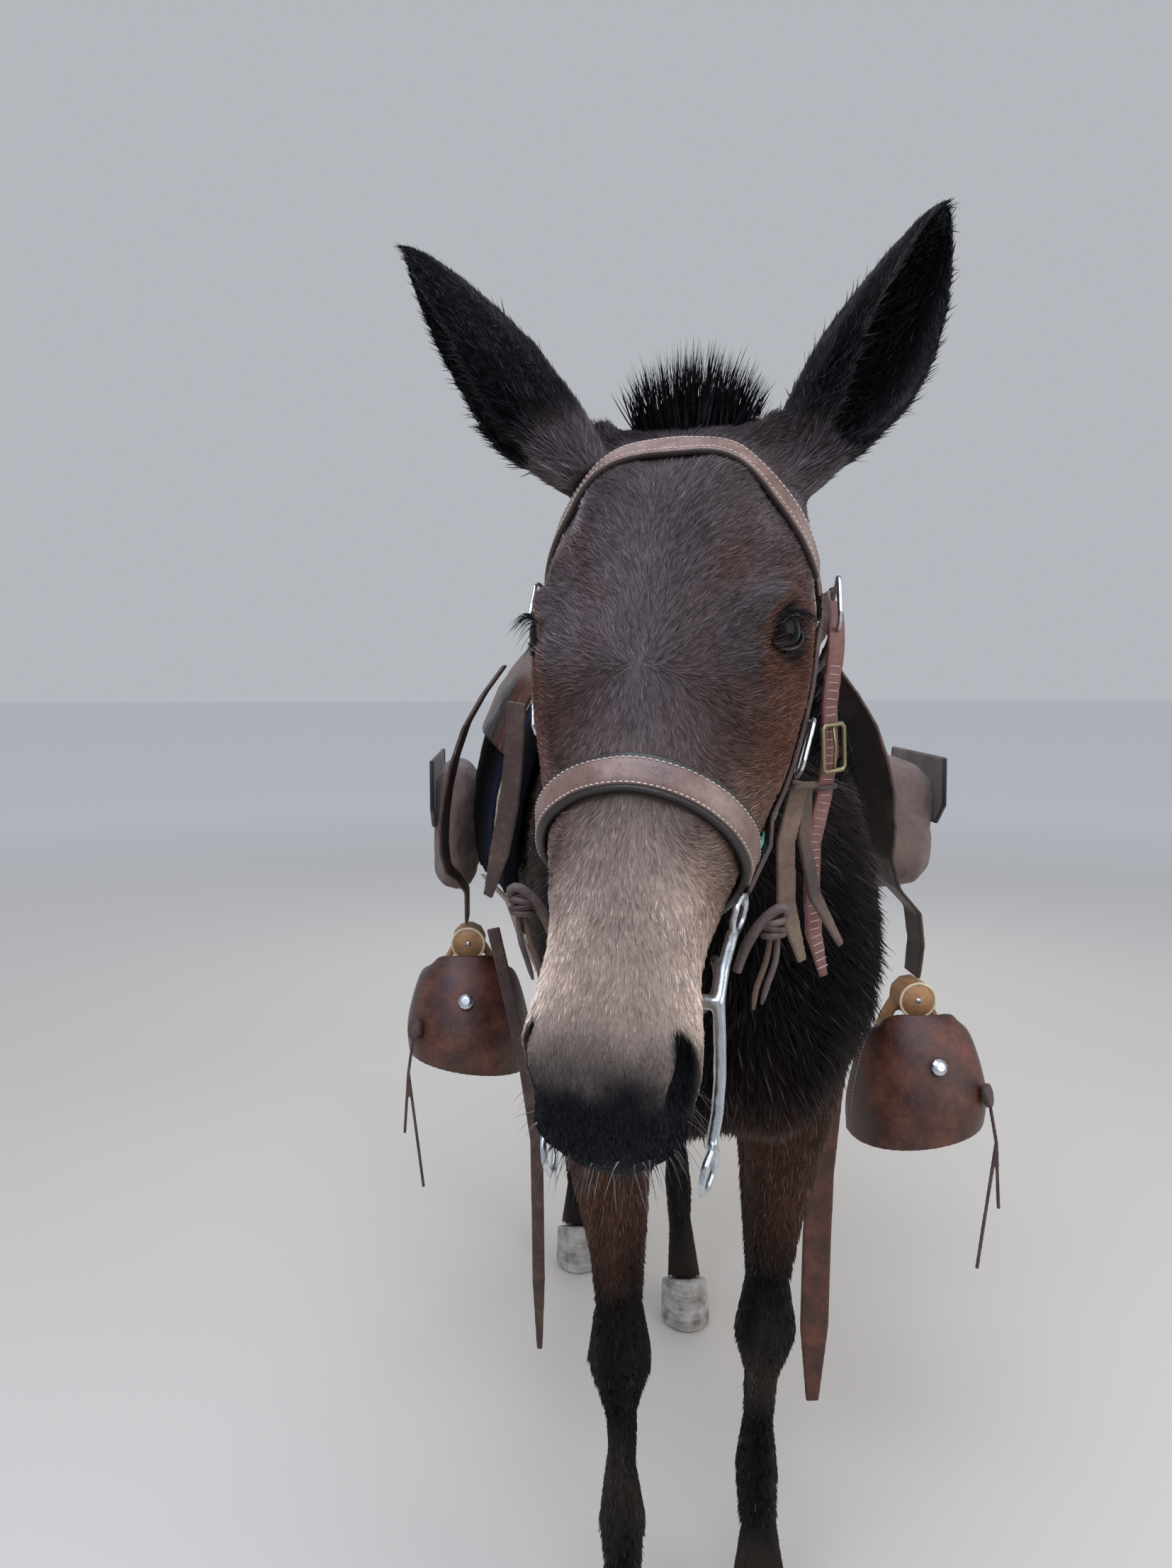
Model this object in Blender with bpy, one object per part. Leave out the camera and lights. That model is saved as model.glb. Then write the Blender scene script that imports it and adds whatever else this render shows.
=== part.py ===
# A life-size saddle mule standing still, head low and turned a little to its right, in a western saddle
# and bridle.
# Metres, +Z up. The mule faces -Y and its left side is +X. The origin is on the ground under its middle.
import math
import random

import bmesh
import bpy
import numpy as np
from mathutils import Matrix, Vector
from mathutils.bvhtree import BVHTree

for old in list(bpy.data.objects):
    bpy.data.objects.remove(old)

# How the head is carried: the poll's top, and how far the nose is turned down and to the right
POLL = Vector((-0.0915, -0.476, 1.52))
NOSE_DOWN = math.radians(57)
NOSE_RIGHT = math.radians(20.0)

GAP = 0.0003
SIDES = (("left", 1), ("right", -1))


def rows(*lines):
    """A table of numbers, one line of text for each station."""
    return np.array([[float(word) for word in line.split()] for line in lines])


def smooth_table(table, at):
    """The table's rows read at values of its first column, on a smooth curve through the stations."""
    x, y = table[:, 0], table[:, 1:]
    slope = np.diff(y, axis=0) / np.diff(x)[:, None]
    tangent = np.vstack([slope[:1], (slope[1:] + slope[:-1]) / 2, slope[-1:]])
    k = np.clip(np.searchsorted(x, at, side="right") - 1, 0, len(x) - 2)
    step = (x[k + 1] - x[k])[:, None]
    t = ((at - x[k])[:, None]) / step
    return (
        y[k] * (2 * t**3 - 3 * t**2 + 1)
        + tangent[k] * step * (t**3 - 2 * t**2 + t)
        + y[k + 1] * (3 * t**2 - 2 * t**3)
        + tangent[k + 1] * step * (t**3 - t**2)
    )


def material(name, colour, roughness=0.7, metallic=0.0):
    """A plain finish, with its colour given as sRGB from 0 to 255."""
    made = bpy.data.materials.new(name)
    made.use_nodes = True
    shader = made.node_tree.nodes["Principled BSDF"]
    linear = [(c / 255 / 12.92) if c <= 10 else ((c / 255 + 0.055) / 1.055) ** 2.4 for c in colour]
    shader.inputs["Base Color"].default_value = (*linear, 1)
    shader.inputs["Roughness"].default_value = roughness
    shader.inputs["Metallic"].default_value = metallic
    return made


COAT = material("coat", (74, 52, 42), 0.8)
POINTS = material("dark_points", (28, 24, 26), 0.8)
HORN = material("hoof_horn", (132, 122, 112), 0.6)
EYE = material("eye", (16, 12, 12), 0.1)
LEATHER = material("leather", (108, 66, 52), 0.5)
DARK_LEATHER = material("dark_leather", (66, 44, 38), 0.6)
STEEL = material("steel", (170, 176, 176), 0.3, 1.0)
RAWHIDE = material("stirrup_wood", (190, 160, 110), 0.5)
WOOL = material("saddle_pad_wool", (30, 34, 60), 0.95)
CANVAS = material("bag_canvas", (96, 72, 62), 0.9)


def mesh_object(name, points, faces, finish=None):
    """One object from points and faces, its normals made to point outwards."""
    mesh = bpy.data.meshes.new(name)
    mesh.from_pydata([tuple(p) for p in points], [], [tuple(f) for f in faces])
    build = bmesh.new()
    build.from_mesh(mesh)
    bmesh.ops.recalc_face_normals(build, faces=build.faces)
    build.to_mesh(mesh)
    build.free()
    made = bpy.data.objects.new(name, mesh)
    bpy.context.scene.collection.objects.link(made)
    if finish:
        mesh.materials.append(finish)
    return made


def loft(name, rings, finish=None):
    """A closed solid through rings of points, with a fan over each end."""
    rings = np.asarray(rings)
    count, around = rings.shape[:2]
    points = list(rings.reshape(-1, 3)) + [rings[0].mean(axis=0), rings[-1].mean(axis=0)]
    faces = []
    for k in range(around):
        n = (k + 1) % around
        for i in range(count - 1):
            faces.append((i * around + k, i * around + n, (i + 1) * around + n, (i + 1) * around + k))
        faces.append((count * around, n, k))
        faces.append((count * around + 1, (count - 1) * around + k, (count - 1) * around + n))
    return mesh_object(name, points, faces, finish)


def apply_all(obj):
    """Makes an object's evaluated mesh its own."""
    graph = bpy.context.evaluated_depsgraph_get()
    made = bpy.data.meshes.new_from_object(obj.evaluated_get(graph))
    obj.modifiers.clear()
    obj.data = made
    return obj


def boolean(obj, others, operation, solver="EXACT"):
    """Joins or cuts obj with a collection of closed meshes, which are then removed."""
    group = bpy.data.collections.new("operands")
    for other in others:
        group.objects.link(other)
    modifier = obj.modifiers.new("join", "BOOLEAN")
    modifier.operation, modifier.solver = operation, solver
    modifier.operand_type, modifier.collection = "COLLECTION", group
    apply_all(obj)
    build = bmesh.new()
    build.from_mesh(obj.data)
    bmesh.ops.triangulate(build, faces=build.faces)
    bmesh.ops.remove_doubles(build, verts=build.verts, dist=5e-5)
    bmesh.ops.dissolve_degenerate(build, edges=build.edges, dist=5e-5)
    bmesh.ops.triangulate(build, faces=build.faces)
    build.to_mesh(obj.data)
    build.free()
    for other in list(group.objects):
        bpy.data.objects.remove(other)
    bpy.data.collections.remove(group)
    return obj


def fuse(name, parts, voxel, smoothing):
    """One smooth skin round several overlapping solids."""
    build = bmesh.new()
    for part in parts:
        part.data.transform(part.matrix_world)
        build.from_mesh(part.data)
    mesh = bpy.data.meshes.new(name)
    build.to_mesh(mesh)
    build.free()
    made = bpy.data.objects.new(name, mesh)
    bpy.context.scene.collection.objects.link(made)
    remesh = made.modifiers.new("skin", "REMESH")
    remesh.mode, remesh.voxel_size = "VOXEL", voxel
    relax = made.modifiers.new("relax", "SMOOTH")
    relax.factor, relax.iterations = 0.5, smoothing
    return apply_all(made)


def relax(obj, iterations, where):
    """Smooths only the places that a function of the points picks out."""
    group = obj.vertex_groups.new(name="relaxed")
    for vertex in obj.data.vertices:
        amount = where(vertex.co)
        if amount > 0:
            group.add([vertex.index], amount, "REPLACE")
    modifier = obj.modifiers.new("relax", "SMOOTH")
    modifier.factor, modifier.iterations, modifier.vertex_group = 0.5, iterations, group.name
    apply_all(obj)
    obj.vertex_groups.clear()
    return obj


def thin_out(obj, triangles):
    """Fewer, larger facets, kept where the form bends most."""
    now = sum(len(p.vertices) - 2 for p in obj.data.polygons)
    fewer = obj.modifiers.new("facets", "DECIMATE")
    fewer.ratio = triangles / now
    return apply_all(obj)


def keep_side(obj, point, normal):
    """Cuts obj by a plane and keeps the side that the normal points to, closed with a flat face."""
    build = bmesh.new()
    build.from_mesh(obj.data)
    everything = build.verts[:] + build.edges[:] + build.faces[:]
    cut = bmesh.ops.bisect_plane(
        build, geom=everything, dist=1e-6, plane_co=point, plane_no=normal, clear_inner=True
    )
    edges = [e for e in cut["geom_cut"] if isinstance(e, bmesh.types.BMEdge)]
    bmesh.ops.holes_fill(build, edges=edges)
    bmesh.ops.triangulate(build, faces=build.faces)
    bmesh.ops.recalc_face_normals(build, faces=build.faces)
    build.to_mesh(obj.data)
    build.free()
    return obj


def keep_largest(obj):
    """Drops every closed surface of a mesh but its largest."""
    build = bmesh.new()
    build.from_mesh(obj.data)
    build.faces.ensure_lookup_table()
    left = set(build.faces)
    islands = []
    while left:
        reached = [left.pop()]
        for face in reached:
            for edge in face.edges:
                for other in edge.link_faces:
                    if other in left:
                        left.remove(other)
                        reached.append(other)
        islands.append(reached)
    islands.sort(key=lambda faces: sum(f.calc_area() for f in faces))
    small = [f for island in islands[:-1] for f in island]
    bmesh.ops.delete(build, geom=small, context="FACES")
    build.to_mesh(obj.data)
    build.free()
    return obj


def copy_of(obj, name):
    made = obj.copy()
    made.data = obj.data.copy()
    made.name = name
    bpy.context.scene.collection.objects.link(made)
    return made


def corner_power(value, power):
    return np.sign(value) * np.abs(value) ** power


# The trunk, neck and legs

AROUND = 40
# Along the body from the forelegs: top, bottom, half width, height of the widest point as a share,
# roundness of the upper half and of the lower half
TRUNK = rows(
    "-0.235 1.080 0.950 0.045 0.50 2.0 2.0",
    "-0.205 1.150 0.850 0.130 0.48 2.0 2.1",
    "-0.130 1.270 0.785 0.188 0.48 1.9 2.3",
    " 0.000 1.410 0.765 0.205 0.46 1.7 2.3",
    " 0.140 1.460 0.765 0.222 0.45 1.6 2.2",
    " 0.300 1.425 0.772 0.252 0.46 1.8 2.1",
    " 0.500 1.392 0.780 0.275 0.47 2.1 2.0",
    " 0.700 1.395 0.805 0.272 0.48 2.2 2.0",
    " 0.880 1.430 0.870 0.258 0.50 2.2 2.0",
    " 1.020 1.450 0.940 0.250 0.52 2.2 2.0",
    " 1.150 1.415 0.980 0.222 0.52 2.1 2.0",
    " 1.240 1.350 1.010 0.165 0.52 2.0 2.0",
    " 1.285 1.270 1.080 0.060 0.52 2.0 2.0",
)
# From the poll back to the chest: the crest's place, the throat's place, half width and sideways offset
NECK = rows(
    "0.00 -0.520 1.492 -0.300 1.330 0.058 -0.092",
    "0.12 -0.450 1.520 -0.272 1.268 0.066 -0.080",
    "0.30 -0.330 1.528 -0.245 1.190 0.070 -0.062",
    "0.55 -0.160 1.512 -0.222 1.085 0.082 -0.032",
    "0.80 0.010 1.470 -0.205 0.975 0.108 -0.010",
    "1.00 0.140 1.400 -0.160 0.900 0.120 0.000",
)
# Down each leg: height, place along the body, distance from the middle, half width, half depth
FORELEG = rows(
    "0.025 -0.075 0.098 0.047 0.058",
    "0.068 -0.052 0.098 0.044 0.053",
    "0.105 -0.038 0.098 0.037 0.043",
    "0.145 -0.020 0.098 0.029 0.035",
    "0.188 -0.002 0.098 0.030 0.039",
    "0.216 0.004 0.098 0.035 0.043",
    "0.255 0.002 0.098 0.028 0.037",
    "0.310 0.000 0.098 0.023 0.032",
    "0.370 0.000 0.099 0.026 0.034",
    "0.410 -0.008 0.100 0.039 0.043",
    "0.455 -0.012 0.100 0.046 0.046",
    "0.505 -0.006 0.101 0.033 0.041",
    "0.580 -0.002 0.104 0.039 0.049",
    "0.660 0.000 0.110 0.050 0.062",
    "0.740 0.004 0.118 0.062 0.084",
    "0.840 0.006 0.124 0.070 0.115",
    "0.960 -0.010 0.122 0.068 0.140",
    "1.080 0.000 0.110 0.060 0.130",
)
HINDLEG = rows(
    "0.025 1.018 0.104 0.044 0.056",
    "0.068 1.030 0.104 0.041 0.050",
    "0.105 1.044 0.104 0.035 0.042",
    "0.150 1.066 0.104 0.027 0.034",
    "0.195 1.088 0.104 0.030 0.038",
    "0.225 1.098 0.104 0.034 0.043",
    "0.265 1.104 0.105 0.027 0.037",
    "0.320 1.106 0.106 0.023 0.033",
    "0.400 1.110 0.107 0.025 0.035",
    "0.470 1.116 0.108 0.031 0.044",
    "0.530 1.126 0.109 0.037 0.056",
    "0.580 1.132 0.110 0.034 0.062",
    "0.640 1.112 0.114 0.038 0.062",
    "0.720 1.075 0.122 0.052 0.082",
    "0.810 1.035 0.134 0.072 0.122",
    "0.920 1.010 0.142 0.088 0.165",
    "1.050 1.030 0.140 0.095 0.195",
    "1.180 1.050 0.125 0.090 0.180",
)
# How far each foot stands ahead of where it would stand square
STRIDES = {("fore", "left"): -0.072, ("fore", "right"): 0.022, ("hind", "left"): 0.235,
           ("hind", "right"): -0.015}
LEG_TABLES = {"fore": FORELEG, "hind": HINDLEG}
STRIDE_TOP = 0.95


def trunk_rings(count=60):
    at = np.linspace(TRUNK[0, 0], TRUNK[-1, 0], count)
    angle = np.linspace(0, 2 * math.pi, AROUND, endpoint=False)
    made = []
    for y, (top, low, half, share, upper, lower) in zip(at, smooth_table(TRUNK, at)):
        widest = low + share * (top - low)
        rise = np.where(np.sin(angle) > 0, top - widest, widest - low)
        power = np.where(np.sin(angle) > 0, 2 / upper, 2 / lower)
        x = half * corner_power(np.cos(angle), power)
        z = widest + rise * corner_power(np.sin(angle), power)
        made.append(np.column_stack([x, np.full(AROUND, y), z]))
    return made


def neck_rings(count=30, start=0.0):
    at = np.linspace(start, 1, count)
    angle = np.linspace(0, 2 * math.pi, AROUND, endpoint=False)
    made = []
    for row in smooth_table(NECK, at):
        crest, throat = np.array([row[0], row[1]]), np.array([row[2], row[3]])
        middle = throat * 0.5 + crest * 0.5
        along = np.sin(angle)[:, None] * (crest - throat) / 2
        narrowing = 1 - 0.28 * np.clip(np.sin(angle), 0, 1) ** 2
        side = middle + along
        made.append(np.column_stack([row[5] + row[4] * np.cos(angle) * narrowing, side[:, 0], side[:, 1]]))
    return made


def leg_point(which, side, z):
    """Centre, half width and half depth of a leg at a height."""
    y, x, half, depth = smooth_table(LEG_TABLES[which], np.array([z]))[0]
    ahead = STRIDES[which, side] * max(0.0, 1 - z / STRIDE_TOP)
    return Vector((dict(SIDES)[side] * x, y - ahead, z)), half, depth


def leg_rings(which, side, count=64, around=24):
    table = LEG_TABLES[which]
    angle = np.linspace(0, 2 * math.pi, around, endpoint=False)
    made = []
    for z in np.linspace(table[0, 0], table[-1, 0], count):
        centre, half, depth = leg_point(which, side, z)
        x = centre.x + half * corner_power(np.cos(angle), 0.9)
        y = centre.y + depth * corner_power(np.sin(angle), 0.9)
        made.append(np.column_stack([x, y, np.full(around, z)]))
    return made


# The head, in its own frame: x to its left, s from the poll down to the nose, h up out of the forehead

HEAD_TURN = Matrix.Rotation(-NOSE_RIGHT, 4, "Z") @ Matrix.Rotation(NOSE_DOWN, 4, "X")
HEAD_PLACE = Matrix.Translation(POLL) @ HEAD_TURN
# Down the face: forehead line, jaw line, then half widths at four depths below the forehead line
WIDTH_DEPTHS = (0.10, 0.28, 0.55, 0.86)
HEAD = rows(
    "-0.029 -0.020 -0.120 0.044 0.056 0.060 0.040",
    " 0.000 0.000 -0.165 0.056 0.080 0.078 0.052",
    " 0.048 0.020 -0.205 0.066 0.096 0.089 0.054",
    " 0.097 0.029 -0.238 0.073 0.103 0.095 0.060",
    " 0.155 0.030 -0.248 0.078 0.109 0.097 0.058",
    " 0.203 0.024 -0.238 0.073 0.108 0.095 0.053",
    " 0.256 0.012 -0.210 0.058 0.092 0.091 0.046",
    " 0.319 0.001 -0.180 0.048 0.073 0.075 0.040",
    " 0.372 -0.005 -0.160 0.042 0.061 0.060 0.037",
    " 0.420 -0.010 -0.148 0.039 0.055 0.055 0.035",
    " 0.464 -0.016 -0.143 0.039 0.058 0.056 0.036",
    " 0.498 -0.025 -0.144 0.038 0.060 0.056 0.038",
    " 0.527 -0.040 -0.142 0.034 0.053 0.050 0.036",
    " 0.547 -0.058 -0.134 0.027 0.041 0.040 0.028",
    " 0.560 -0.080 -0.120 0.010 0.017 0.017 0.012",
)
HEAD_AROUND = 72


def head_rings(count=110):
    """Rings through the four half widths, each a closed smooth curve."""
    at = np.linspace(HEAD[0, 0], HEAD[-1, 0], count)
    turns = np.linspace(0, 1, HEAD_AROUND, endpoint=False)
    made = []
    for s, (top, low, *widths) in zip(at, smooth_table(HEAD, at)):
        depths = [0.0, *WIDTH_DEPTHS, 1.0]
        half = [(0.0, top)]
        half += [(w, top + d * (low - top)) for w, d in zip(widths, WIDTH_DEPTHS)]
        half += [(0.0, low)]
        loop = half + [(-x, h) for x, h in half[-2:0:-1]]
        marks = np.linspace(0, 1, len(loop) + 1)
        wrapped = [loop[-1], *loop, loop[0], loop[1]]
        steps = np.concatenate([[marks[0] - marks[1]], marks, [1 + marks[1]]])
        table = np.column_stack([steps, np.array(wrapped)])
        curve = smooth_table(table, turns)
        made.append(np.column_stack([curve[:, 0], np.full(HEAD_AROUND, -s), curve[:, 1]]))
    return made


def ellipsoid(centre, radii, frame=None):
    """A smooth swelling, to be fused with others."""
    build = bmesh.new()
    bmesh.ops.create_uvsphere(build, u_segments=24, v_segments=14, radius=1)
    build.transform((frame or Matrix()) @ Matrix.Translation(centre) @ Matrix.Diagonal((*radii, 1)))
    mesh = bpy.data.meshes.new("swelling")
    build.to_mesh(mesh)
    build.free()
    made = bpy.data.objects.new("swelling", mesh)
    bpy.context.scene.collection.objects.link(made)
    return made


def in_head(points):
    """Points of the head's own frame put in their place."""
    return [HEAD_PLACE @ Vector(p) for p in points]


def tree_of(*objects):
    """The surfaces of several objects together, for finding what lies under a place."""
    points, faces = [], []
    for obj in objects:
        start = len(points)
        points.extend(obj.matrix_world @ v.co for v in obj.data.vertices)
        faces.extend([start + i for i in p.vertices] for p in obj.data.polygons)
    return BVHTree.FromPolygons(points, faces)


def grown(obj, amount):
    """A copy of a solid swollen by a small even amount."""
    made = copy_of(obj, "grown")
    normals = [v.normal.copy() for v in made.data.vertices]
    for vertex, normal in zip(made.data.vertices, normals):
        vertex.co += normal * amount
    return made


def clear_of(obj, others):
    """Cuts away whatever of a solid reaches into others, a hair wide of them."""
    for other in others:
        if tree_of(obj).overlap(tree_of(other)):
            boolean(obj, [grown(other, 0.0010)], "DIFFERENCE")
            keep_largest(obj)
    return obj


# Swellings on both sides of the head: centre and radii in the head's frame
HEAD_SWELLS = (
    ((0.068, -0.182, -0.008), (0.036, 0.048, 0.020)),
    ((0.064, -0.115, -0.145), (0.040, 0.090, 0.085)),
    ((0.070, -0.250, -0.078), (0.024, 0.050, 0.014)),
    ((0.056, -0.315, -0.076), (0.020, 0.060, 0.012)),
    ((0.036, -0.490, -0.062), (0.023, 0.038, 0.032)),
    ((0.030, -0.522, -0.088), (0.024, 0.030, 0.024)),
    ((0.014, -0.518, -0.134), (0.024, 0.034, 0.016)),
    ((0.034, -0.100, 0.006), (0.038, 0.070, 0.026)),
    ((0.064, -0.006, -0.030), (0.030, 0.036, 0.036)),
)
# Swellings on both sides of the body
BODY_SWELLS = (
    ((0.125, 0.060, 1.130), (0.072, 0.120, 0.210)),
    ((0.105, -0.130, 0.985), (0.085, 0.080, 0.120)),
    ((0.062, -0.160, 0.900), (0.070, 0.070, 0.120)),
    ((0.138, 0.110, 0.850), (0.050, 0.070, 0.110)),
    ((0.160, 0.860, 1.315), (0.070, 0.080, 0.050)),
    ((0.110, 1.160, 1.190), (0.070, 0.095, 0.130)),
    ((0.150, 0.870, 0.930), (0.055, 0.080, 0.120)),
    ((0.105, 0.995, 1.365), (0.105, 0.170, 0.068)),
)

EYE_PLACE = (0.0830, -0.181, -0.027)
EYE_RADIUS = 0.021
EYE_AXIS = Vector((0.88, -0.28, 0.36)).normalized()
LID = 0.0036


def move_points(obj, change):
    """Moves a mesh's points by a function of the whole array of them."""
    mesh = obj.data
    points = np.empty(len(mesh.vertices) * 3)
    mesh.vertices.foreach_get("co", points)
    points = points.reshape(-1, 3)
    mesh.vertices.foreach_set("co", np.ascontiguousarray(change(points)).ravel())
    mesh.update()
    return obj


def bump(distance, radius):
    """Falls smoothly from one at no distance to nothing at the radius."""
    t = np.clip(1 - distance / radius, 0, 1)
    return t * t * (3 - 2 * t)


def sculpt_head(points):
    """Lids, cheek hollows, nostril wings and lip folds, on the head's fine surface."""
    turn = np.array(HEAD_PLACE.inverted())
    local = points @ turn[:3, :3].T + turn[:3, 3]
    side = np.sign(local[:, :1])
    half = local * np.column_stack([side, np.ones_like(side), np.ones_like(side)])
    eye = np.array(EYE_PLACE)
    axis = np.array(EYE_AXIS)
    # The lids lie over the eyeball and fold into the socket above and below
    away = half - eye
    distance = np.linalg.norm(away, axis=1)
    facing = (away @ axis) / np.maximum(distance, 1e-9)
    ball = EYE_RADIUS + LID
    # Only what faces outwards is drawn onto the ball
    lean = np.degrees(np.arccos(np.clip(facing, -1, 1)))
    weight = np.clip((72 - lean) / 34, 0, 1)[:, None] * bump(distance, 0.075)[:, None] ** 0.5
    target = eye + away / np.maximum(distance, 1e-9)[:, None] * ball
    half = half + (target - half) * weight * weight * (3 - 2 * weight)
    ring = np.exp(-((lean - 66) / 10) ** 2) * bump(distance, 0.06)
    half = half - axis * (0.0030 * ring * (half[:, 2] > eye[2] - 0.004))[:, None]
    # Hollow above the eye, and behind the corner of the jaw
    for place, radius, depth in (
        ((0.070, -0.145, 0.010), 0.034, -0.007),
        ((0.060, -0.420, -0.075), 0.060, -0.006),
        ((0.030, -0.300, 0.000), 0.070, -0.003),
        ((0.052, -0.245, -0.130), 0.050, -0.004),
    ):
        centre = np.array(place)
        near = bump(np.linalg.norm(half - centre, axis=1), radius)
        outward = half - np.array([0.0, 0.0, -0.10]) - half * np.array([0, 1, 0])
        outward /= np.maximum(np.linalg.norm(outward, axis=1), 1e-9)[:, None]
        half = half + outward * (depth * near)[:, None]
    # The nostril's wing stands out round its opening
    nostril = (half - np.array([0.043, -0.508, -0.056])) / (1, 1.9, 1.35)
    wing = np.exp(-((np.linalg.norm(nostril, axis=1) - 0.016) / 0.006) ** 2)
    half = half + np.array([0.75, -0.15, 0.25]) * (0.0045 * wing)[:, None]
    local = half * np.column_stack([side, np.ones_like(side), np.ones_like(side)])
    back = np.array(HEAD_PLACE)
    return local @ back[:3, :3].T + back[:3, 3]


def lens(centre, axis, up, length, height, depth, frame):
    """An almond-shaped plug along an axis, to open the lids with."""
    axis = Vector(axis).normalized()
    along = Vector(up).cross(axis).normalized()
    over = axis.cross(along)
    count = 14
    rings = []
    for reach in (0.004, depth):
        ring = []
        for k in range(count):
            a = 2 * math.pi * k / count
            across = math.cos(a)
            rise = math.sin(a) * (1 - 0.35 * across * across) * (1.0 if math.sin(a) > 0 else 0.75)
            spot = along * (across * length / 2) + over * (rise * height / 2)
            ring.append(Vector(centre) + axis * reach + spot)
        rings.append([frame @ p for p in ring])
    return loft("lens", rings)


def tube(name, path, radii, around=10, finish=None, closed=False, squash=1.0):
    """A round bar along a path; squash flattens it across."""
    path = [Vector(p) for p in path]
    if not hasattr(radii, "__len__"):
        radii = [radii] * len(path)
    radii = [float(radius) for radius in radii]
    rings = []
    normal = None
    count = len(path)
    for i, point in enumerate(path):
        before = path[(i - 1) % count] if closed or i > 0 else point
        after = path[(i + 1) % count] if closed or i < count - 1 else point
        tangent = (after - before).normalized()
        if normal is None:
            normal = tangent.orthogonal().normalized()
        normal = (normal - tangent * normal.dot(tangent)).normalized()
        other = tangent.cross(normal)
        turns = [2 * math.pi * k / around for k in range(around)]
        rings.append([
            point + radii[i] * (normal * math.cos(turn) + other * squash * math.sin(turn))
            for turn in turns
        ])
    if not closed:
        return loft(name, rings, finish)
    points = [p for ring in rings for p in ring]
    # The last ring meets the first at the turn that fits best
    best = min(range(around), key=lambda s: sum(
        (rings[-1][k] - rings[0][(k + s) % around]).length for k in range(around)))
    faces = []
    for i in range(count):
        shift = best if i == count - 1 else 0
        n = (i + 1) % count
        for k in range(around):
            faces.append((i * around + k, i * around + (k + 1) % around,
                          n * around + (k + 1 + shift) % around, n * around + (k + shift) % around))
    return mesh_object(name, points, faces, finish)


def curve_through(points, count):
    """Evenly spread places on a smooth curve through a few points."""
    points = [Vector(p) for p in points]
    lengths = [0.0]
    for a, b in zip(points, points[1:]):
        lengths.append(lengths[-1] + (b - a).length)
    table = np.column_stack([lengths, np.array([tuple(p) for p in points])])
    fine = smooth_table(table, np.linspace(0, lengths[-1], 12 * len(points)))
    run = np.concatenate([[0], np.cumsum(np.linalg.norm(np.diff(fine, axis=0), axis=1))])
    wanted = np.linspace(0, run[-1], count)
    return [Vector([np.interp(w, run, fine[:, axis]) for axis in range(3)]) for w in wanted]


def lock(path, width, thick, across):
    """A flat tapering lock of hair along a path; across is the way its width lies."""
    rings = []
    count = len(path)
    for i, point in enumerate(path[:-1]):
        tangent = (path[i + 1] - path[max(0, i - 1)]).normalized()
        side = (across - tangent * across.dot(tangent)).normalized()
        over = tangent.cross(side)
        share = i / (count - 1)
        w = width / 2 * (0.75 + 0.6 * share - 1.2 * share * share)
        t = thick / 2 * (1 - 0.6 * share)
        rings.append([point - side * w, point + over * t, point + side * w, point - over * t])
    points = [p for ring in rings for p in ring] + [path[-1]]
    faces = [(0, 1, 2, 3)]
    for i in range(len(rings) - 1):
        faces += [(i * 4 + k, i * 4 + (k + 1) % 4, i * 4 + 4 + (k + 1) % 4, i * 4 + 4 + k) for k in range(4)]
    last = (len(rings) - 1) * 4
    faces += [(last + k, last + (k + 1) % 4, len(points) - 1) for k in range(4)]
    return mesh_object("lock", points, faces)


# Flesh, fused and thinned out

head_loft = loft("head", [in_head(ring) for ring in head_rings()])
neck_loft = loft("neck", neck_rings())
head_parts = [head_loft, neck_loft]
for (x, y, z), radii in HEAD_SWELLS:
    for name, side in SIDES:
        head_parts.append(ellipsoid((side * x, y, z), radii, HEAD_PLACE))
head_fine = fuse("head_fine", head_parts, 0.0042, 14)
relax(head_fine, 30, lambda p: min(1.0, max(0.0, (p.z - 1.22) / 0.05)))
move_points(head_fine, sculpt_head)

body_parts = [loft("trunk", trunk_rings()), neck_loft, head_loft]
for which in ("fore", "hind"):
    for name, side in SIDES:
        body_parts.append(loft("leg", leg_rings(which, name)))
for (x, y, z), radii in BODY_SWELLS:
    for name, side in SIDES:
        body_parts.append(ellipsoid((side * x, y, z), radii))
body_fine = fuse("body_fine", body_parts, 0.0085, 9)
relax(body_fine, 45, lambda p: min(1.0, max(0.0, (p.z - 0.62) / 0.12)))
for part in set(head_parts + body_parts):
    bpy.data.objects.remove(part)

# Where the head and neck part, and the neck and trunk: a place and the way the plane faces
THROAT = (Vector((-0.045, -0.345, 1.37)), Vector((-0.14, -0.95, -0.282)).normalized())
COLLAR = (Vector((0.0, -0.040, 1.215)), Vector((0.0, -0.806, 0.592)).normalized())

keep_side(head_fine, THROAT[0] - THROAT[1] * 0.03, THROAT[1])
thin_out(head_fine, 2000)
keep_side(head_fine, THROAT[0] + THROAT[1] * (GAP / 2), THROAT[1])
keep_side(body_fine, Vector((0, -0.43, 1.4)), Vector((0, 1, 0)))
thin_out(body_fine, 2700)
body_fine.data.materials.append(COAT)

# Legs, each parted from the trunk by a slope under the elbow or stifle, and from its hoof at the coronet
LEG_SLOPES = {
    "fore": ((0.0, 0.762), (0.30, 0.930), (-0.40, 0.21)),
    "hind": ((0.0, 0.830), (0.32, 1.040), (0.76, 1.60)),
}
CORONET_HEIGHT = 0.068
CORONET_SLOPE = 0.42
HOOF_AROUND = 12


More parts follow.
